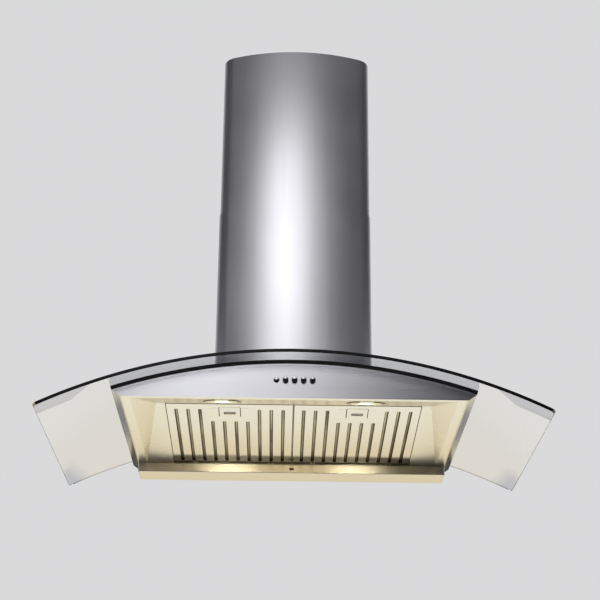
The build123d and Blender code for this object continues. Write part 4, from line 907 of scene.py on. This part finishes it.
# %% Latch plates
LATCH_HALF, LATCH_FRONT, LATCH_BACK = 19 * MM, FILTER_FRONT - 16 * MM, FILTER_FRONT - 59 * MM
LATCH_FACE, LATCH_TOP, LATCH_SHEET = -1.8 * MM, -0.5 * MM, 0.5 * MM
CUP_HALF, CUP_LONG, CUP_DEEP, CUP_CORNER = 11 * MM, 6.5 * MM, 6.4 * MM, 3.5 * MM
NOSE, NOSE_RISE, LATCH_CORNER, LATCH_FOLD = 10 * MM, 1.7 * MM, 2.5 * MM, 0.9 * MM


def latch_plate():
    plate = begin("latch_plate", bpy.ops.mesh.primitive_plane_add, size=1)
    bpy.ops.transform.resize(value=(2 * LATCH_HALF, LATCH_FRONT - LATCH_BACK, 1))
    bpy.ops.transform.translate(value=(0, -(LATCH_FRONT + LATCH_BACK) / 2, LATCH_FACE))
    cut_lines([("x", -CUP_HALF), ("x", CUP_HALF), ("y", -FINGER_AT - CUP_LONG),
               ("y", -FINGER_AT + CUP_LONG), ("y", -LATCH_FRONT + NOSE)])
    pick("FACE", lambda c, n: abs(c.x) < 10 * MM and near(c.y, -FINGER_AT, 2 * MM))
    move_out((0, 0, CUP_DEEP))
    pick("EDGE", lambda c, d: abs(d.z) > 0.9)
    soften(CUP_CORNER, 5)
    pick("VERT", lambda c, n: near(c.y, -LATCH_FRONT))
    bpy.ops.transform.translate(value=(0, 0, NOSE_RISE))
    pick("VERT", lambda c, n: near(abs(c.x), LATCH_HALF) and (
        near(c.y, -LATCH_FRONT) or near(c.y, -LATCH_BACK)))
    soften(LATCH_CORNER, 4, "VERTICES")
    bpy.ops.mesh.select_mode(type="EDGE")
    bpy.ops.mesh.select_all(action="DESELECT")
    bpy.ops.mesh.select_non_manifold(extend=False, use_wire=False, use_multi_face=False,
                                     use_non_contiguous=False, use_verts=False)
    move_out((0, 0, 0.1 * MM))
    bpy.ops.transform.resize(value=(1, 1, 0), center_override=(0, 0, LATCH_TOP))
    pick("EDGE", lambda c, d: near(c.z, LATCH_FACE) and abs(d.z) < 0.1 and (
        abs(c.x) > LATCH_HALF - 0.5 * MM or c.y > -LATCH_BACK - 2.6 * MM))
    soften(LATCH_FOLD, 4)
    bpy.ops.object.mode_set(mode="OBJECT")
    modify(plate, "SOLIDIFY", thickness=LATCH_SHEET, offset=1.0)
    return plate


model = latch_plate()
rod = bar("latch_bar", (-6 * MM, 6 * MM), (FINGER_AT + 7 * MM, FILTER_FRONT - 6 * MM),
          (1.3 * MM, 2.5 * MM), 1 * MM)
alone(model)
rod.select_set(True)
bpy.ops.object.join()
for plate, body, side in on_both_filters(model, "latch_plate", "latch"):
    hand_over(plate, body, filter_steel, "brushed_stainless", body)

# %% [markdown]
# ## Grease trough
# The trough that catches the grease is folded from one sheet, with rounded folds and a small
# drain slot in its front. A box without its top, rounded along its folds and then given the
# sheet's thickness, is the same thing.

# %% Trough
DRAIN_HALF, DRAIN_Z, FRONT_WALL = 4.5 * MM, (6 * MM, 10.5 * MM), (-2 * MM, 3 * MM)

trough = slab("drip_trough", trough_low.x, trough_high.x, trough_low.y, trough_high.y,
              trough_low.z, trough_high.z)
pick("FACE", lambda c, n: n.z > 0.9)
bpy.ops.mesh.delete(type="FACE")
pick("EDGE", lambda c, d: abs(d.z) > 0.9 or near(c.z, trough_low.z))
soften(1.8 * MM, 4)
bpy.ops.object.mode_set(mode="OBJECT")
modify(trough, "SOLIDIFY", thickness=SHEET, offset=-1.0)
drain = slab("drain", -DRAIN_HALF, DRAIN_HALF, *(trough_low.y + y for y in FRONT_WALL),
             *(trough_low.z + z for z in DRAIN_Z))
pick("EDGE", lambda c, d: abs(d.y) > 0.9)
soften(1.5 * MM, 4)
carve(trough, drain)
round_edges(trough, 0.2 * MM, 2, 50)
hand_over(trough, "grease_trough", trough_steel, "brushed_stainless", "grease_trough")

# %% [markdown]
# ## The arched glass
# The canopy is toughened glass, sagged over a mould to one big radius, with ground and polished
# edges. A line along its depth, spun about the arch's axis, gives the sheet. The notch for the
# blower is cut out, the corners are rounded, and the sheet gets its thickness and its polished
# edge last. Seen edge on, the light runs out inside the glass, so the front edge looks black.

# %% Canopy
glass_low, glass_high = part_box("glass_canopy")
ARCH_R, GLASS_T, POLISH = 1005 * MM, 6 * MM, 0.9 * MM
ARCH_Z = glass_high.z - ARCH_R
NOTCH_X, NOTCH_Y = 131.5 * MM, -212.5 * MM
FRONT_CORNER, BACK_CORNER = 9.5 * MM, 7.5 * MM
HOLE_X, HOLE_Y, HOLE_R = (-142 * MM, 142 * MM), (-160 * MM, -60 * MM), 4 * MM


def arched_sheet(name, radius, half, front, back, steps):
    """A line along the depth, spun about the arch's axis from one side to the other."""
    sheet = begin(name, bpy.ops.mesh.primitive_plane_add, size=1)
    height = ARCH_Z + math.sqrt(radius**2 - half**2)
    bpy.ops.transform.resize(value=(1, back - front, 1))
    bpy.ops.transform.translate(value=(-0.5 - half, (back + front) / 2, height))
    pick("VERT", lambda c, n: c.x < -half - 0.5)
    bpy.ops.mesh.delete(type="VERT")
    bpy.ops.mesh.select_all(action="SELECT")
    bpy.ops.mesh.spin(steps=steps, angle=-2 * math.asin(half / radius), center=(0, 0, ARCH_Z),
                      axis=(0, 1, 0))
    bpy.ops.mesh.select_all(action="SELECT")
    bpy.ops.mesh.remove_doubles(threshold=0.01 * MM)
    return sheet


def face_up():
    """Turn every face of an open sheet upwards."""
    bpy.ops.mesh.select_all(action="SELECT")
    bpy.ops.mesh.normals_make_consistent(inside=False)
    mesh = bmesh.from_edit_mesh(bpy.context.object.data)
    if sum(f.normal.z for f in mesh.faces) < 0:
        bpy.ops.mesh.flip_normals()


canopy = arched_sheet("canopy", ARCH_R, glass_high.x, glass_low.y, glass_high.y, 90)
cut_lines([("x", -NOTCH_X), ("x", NOTCH_X), ("y", NOTCH_Y)])
pick("FACE", lambda c, n: abs(c.x) < NOTCH_X and c.y > NOTCH_Y)
bpy.ops.mesh.delete(type="FACE")
face_up()
for y, radius in ((glass_low.y, FRONT_CORNER), (glass_high.y, BACK_CORNER)):
    corners = pick("VERT", lambda c, n: near(abs(c.x), glass_high.x, 0.5 * MM) and near(c.y, y))
    soften(radius, 6, "VERTICES")
    print(corners, "corners of", round(radius / MM, 1), "mm")
bpy.ops.object.mode_set(mode="OBJECT")
modify(canopy, "SOLIDIFY", thickness=GLASS_T, offset=-1.0, use_even_offset=True)
for x in HOLE_X:
    for y in HOLE_Y:
        carve(canopy, begin("glass_drill", bpy.ops.mesh.primitive_cylinder_add, vertices=24,
                            radius=HOLE_R, depth=0.1, location=(x, y, glass_high.z)))
round_edges(canopy, POLISH, 3, 40)

# %% [markdown]
# ## Clear glass with dark edges
# The sheet itself is clear and faintly grey. Its polished edges are long mirrors inside the
# glass that let little light out, and that darkness is painted: a second, dark shader covers
# them, by place, black along the front edge and grey-green on the sides and the back.

# %% Glass material
EDGE_BLACK, EDGE_GREEN = (0.004, 0.005, 0.005, 1), (0.30, 0.33, 0.32, 1)

canopy_glass, shader, place = start("canopy_glass", Roughness=0.01, IOR=1.5,
                                    Transmission_Weight=1.0)
across, deep, _ = parts_of(place)
front_edge = deep < glass_low.y + POLISH + 0.05 * MM
side_edge = across.math("ABSOLUTE") > glass_high.x - POLISH
back_edge = deep > glass_high.y - 0.001 * MM
rim = front_edge.math("MAXIMUM", side_edge.math("MAXIMUM", back_edge))
feed(shader, Base_Color=ramp(noise(place, 2.0), (0.3, (0.925, 0.93, 0.945)),
                             (0.7, (0.94, 0.945, 0.955))))
# The edges' darkness is painted shade: black along the front edge, grey-green elsewhere.
dark = rim.node("ShaderNodeBsdfPrincipled", {}, {
    "Roughness": 0.35, "Specular IOR Level": 0.15,
    "Base Color": blend_colours(front_edge, EDGE_GREEN, EDGE_BLACK)})
clear = Wire(rim.tree, shader.outputs[0])
mixed = rim.node("ShaderNodeMixShader", {}, {0: rim, 1: clear, 2: dark})
output = rim.tree.nodes["Material Output"]
rim.tree.links.new(mixed.socket, output.inputs["Surface"])
hand_over(canopy, "hood_body", canopy_glass, "clear_glass", "glass_canopy", angle=40)

# %% [markdown]
# ## Gasket
# A black rubber strip lies between the glass and the body, all round the body's rim and round
# the blower's opening. It is cut from sheet and bent with the glass, so it is made as the glass
# is: an arched sheet with its middle taken out, thickened, and rounded along its edges.

# %% Rubber strip
seal_low, seal_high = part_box("glass_gasket")
SEAL_BAND, SEAL_T, SEAL_PAST = 12 * MM, 8 * MM, 2.5 * MM
COLLAR_X, COLLAR_Y = 150 * MM, -231 * MM
INNER_X, INNER_Y = seal_high.x - SEAL_BAND, seal_low.y + SEAL_BAND

seal = arched_sheet("seal_strip", ARCH_R - GLASS_T, seal_high.x + SEAL_PAST, seal_low.y,
                    seal_high.y, 64)
cut_lines([("x", -INNER_X), ("x", INNER_X), ("x", -COLLAR_X), ("x", COLLAR_X), ("x", -NOTCH_X),
           ("x", NOTCH_X), ("y", INNER_Y), ("y", COLLAR_Y), ("y", NOTCH_Y)])
pick("FACE", lambda c, n: (abs(c.x) < NOTCH_X and c.y > NOTCH_Y) or (
    abs(c.x) < INNER_X and c.y > INNER_Y and not (abs(c.x) < COLLAR_X and c.y > COLLAR_Y)))
bpy.ops.mesh.delete(type="FACE")
face_up()
bpy.ops.object.mode_set(mode="OBJECT")
modify(seal, "SOLIDIFY", thickness=SEAL_T, offset=-1.0, use_even_offset=True)
round_edges(seal, 1.6 * MM, 3, 40)
hand_over(seal, "hood_body", seal_rubber, "black_rubber", "glass_gasket", angle=40)

# %% [markdown]
# ## Done
# Every visible piece now has its shape, its surface and the body it moves with.
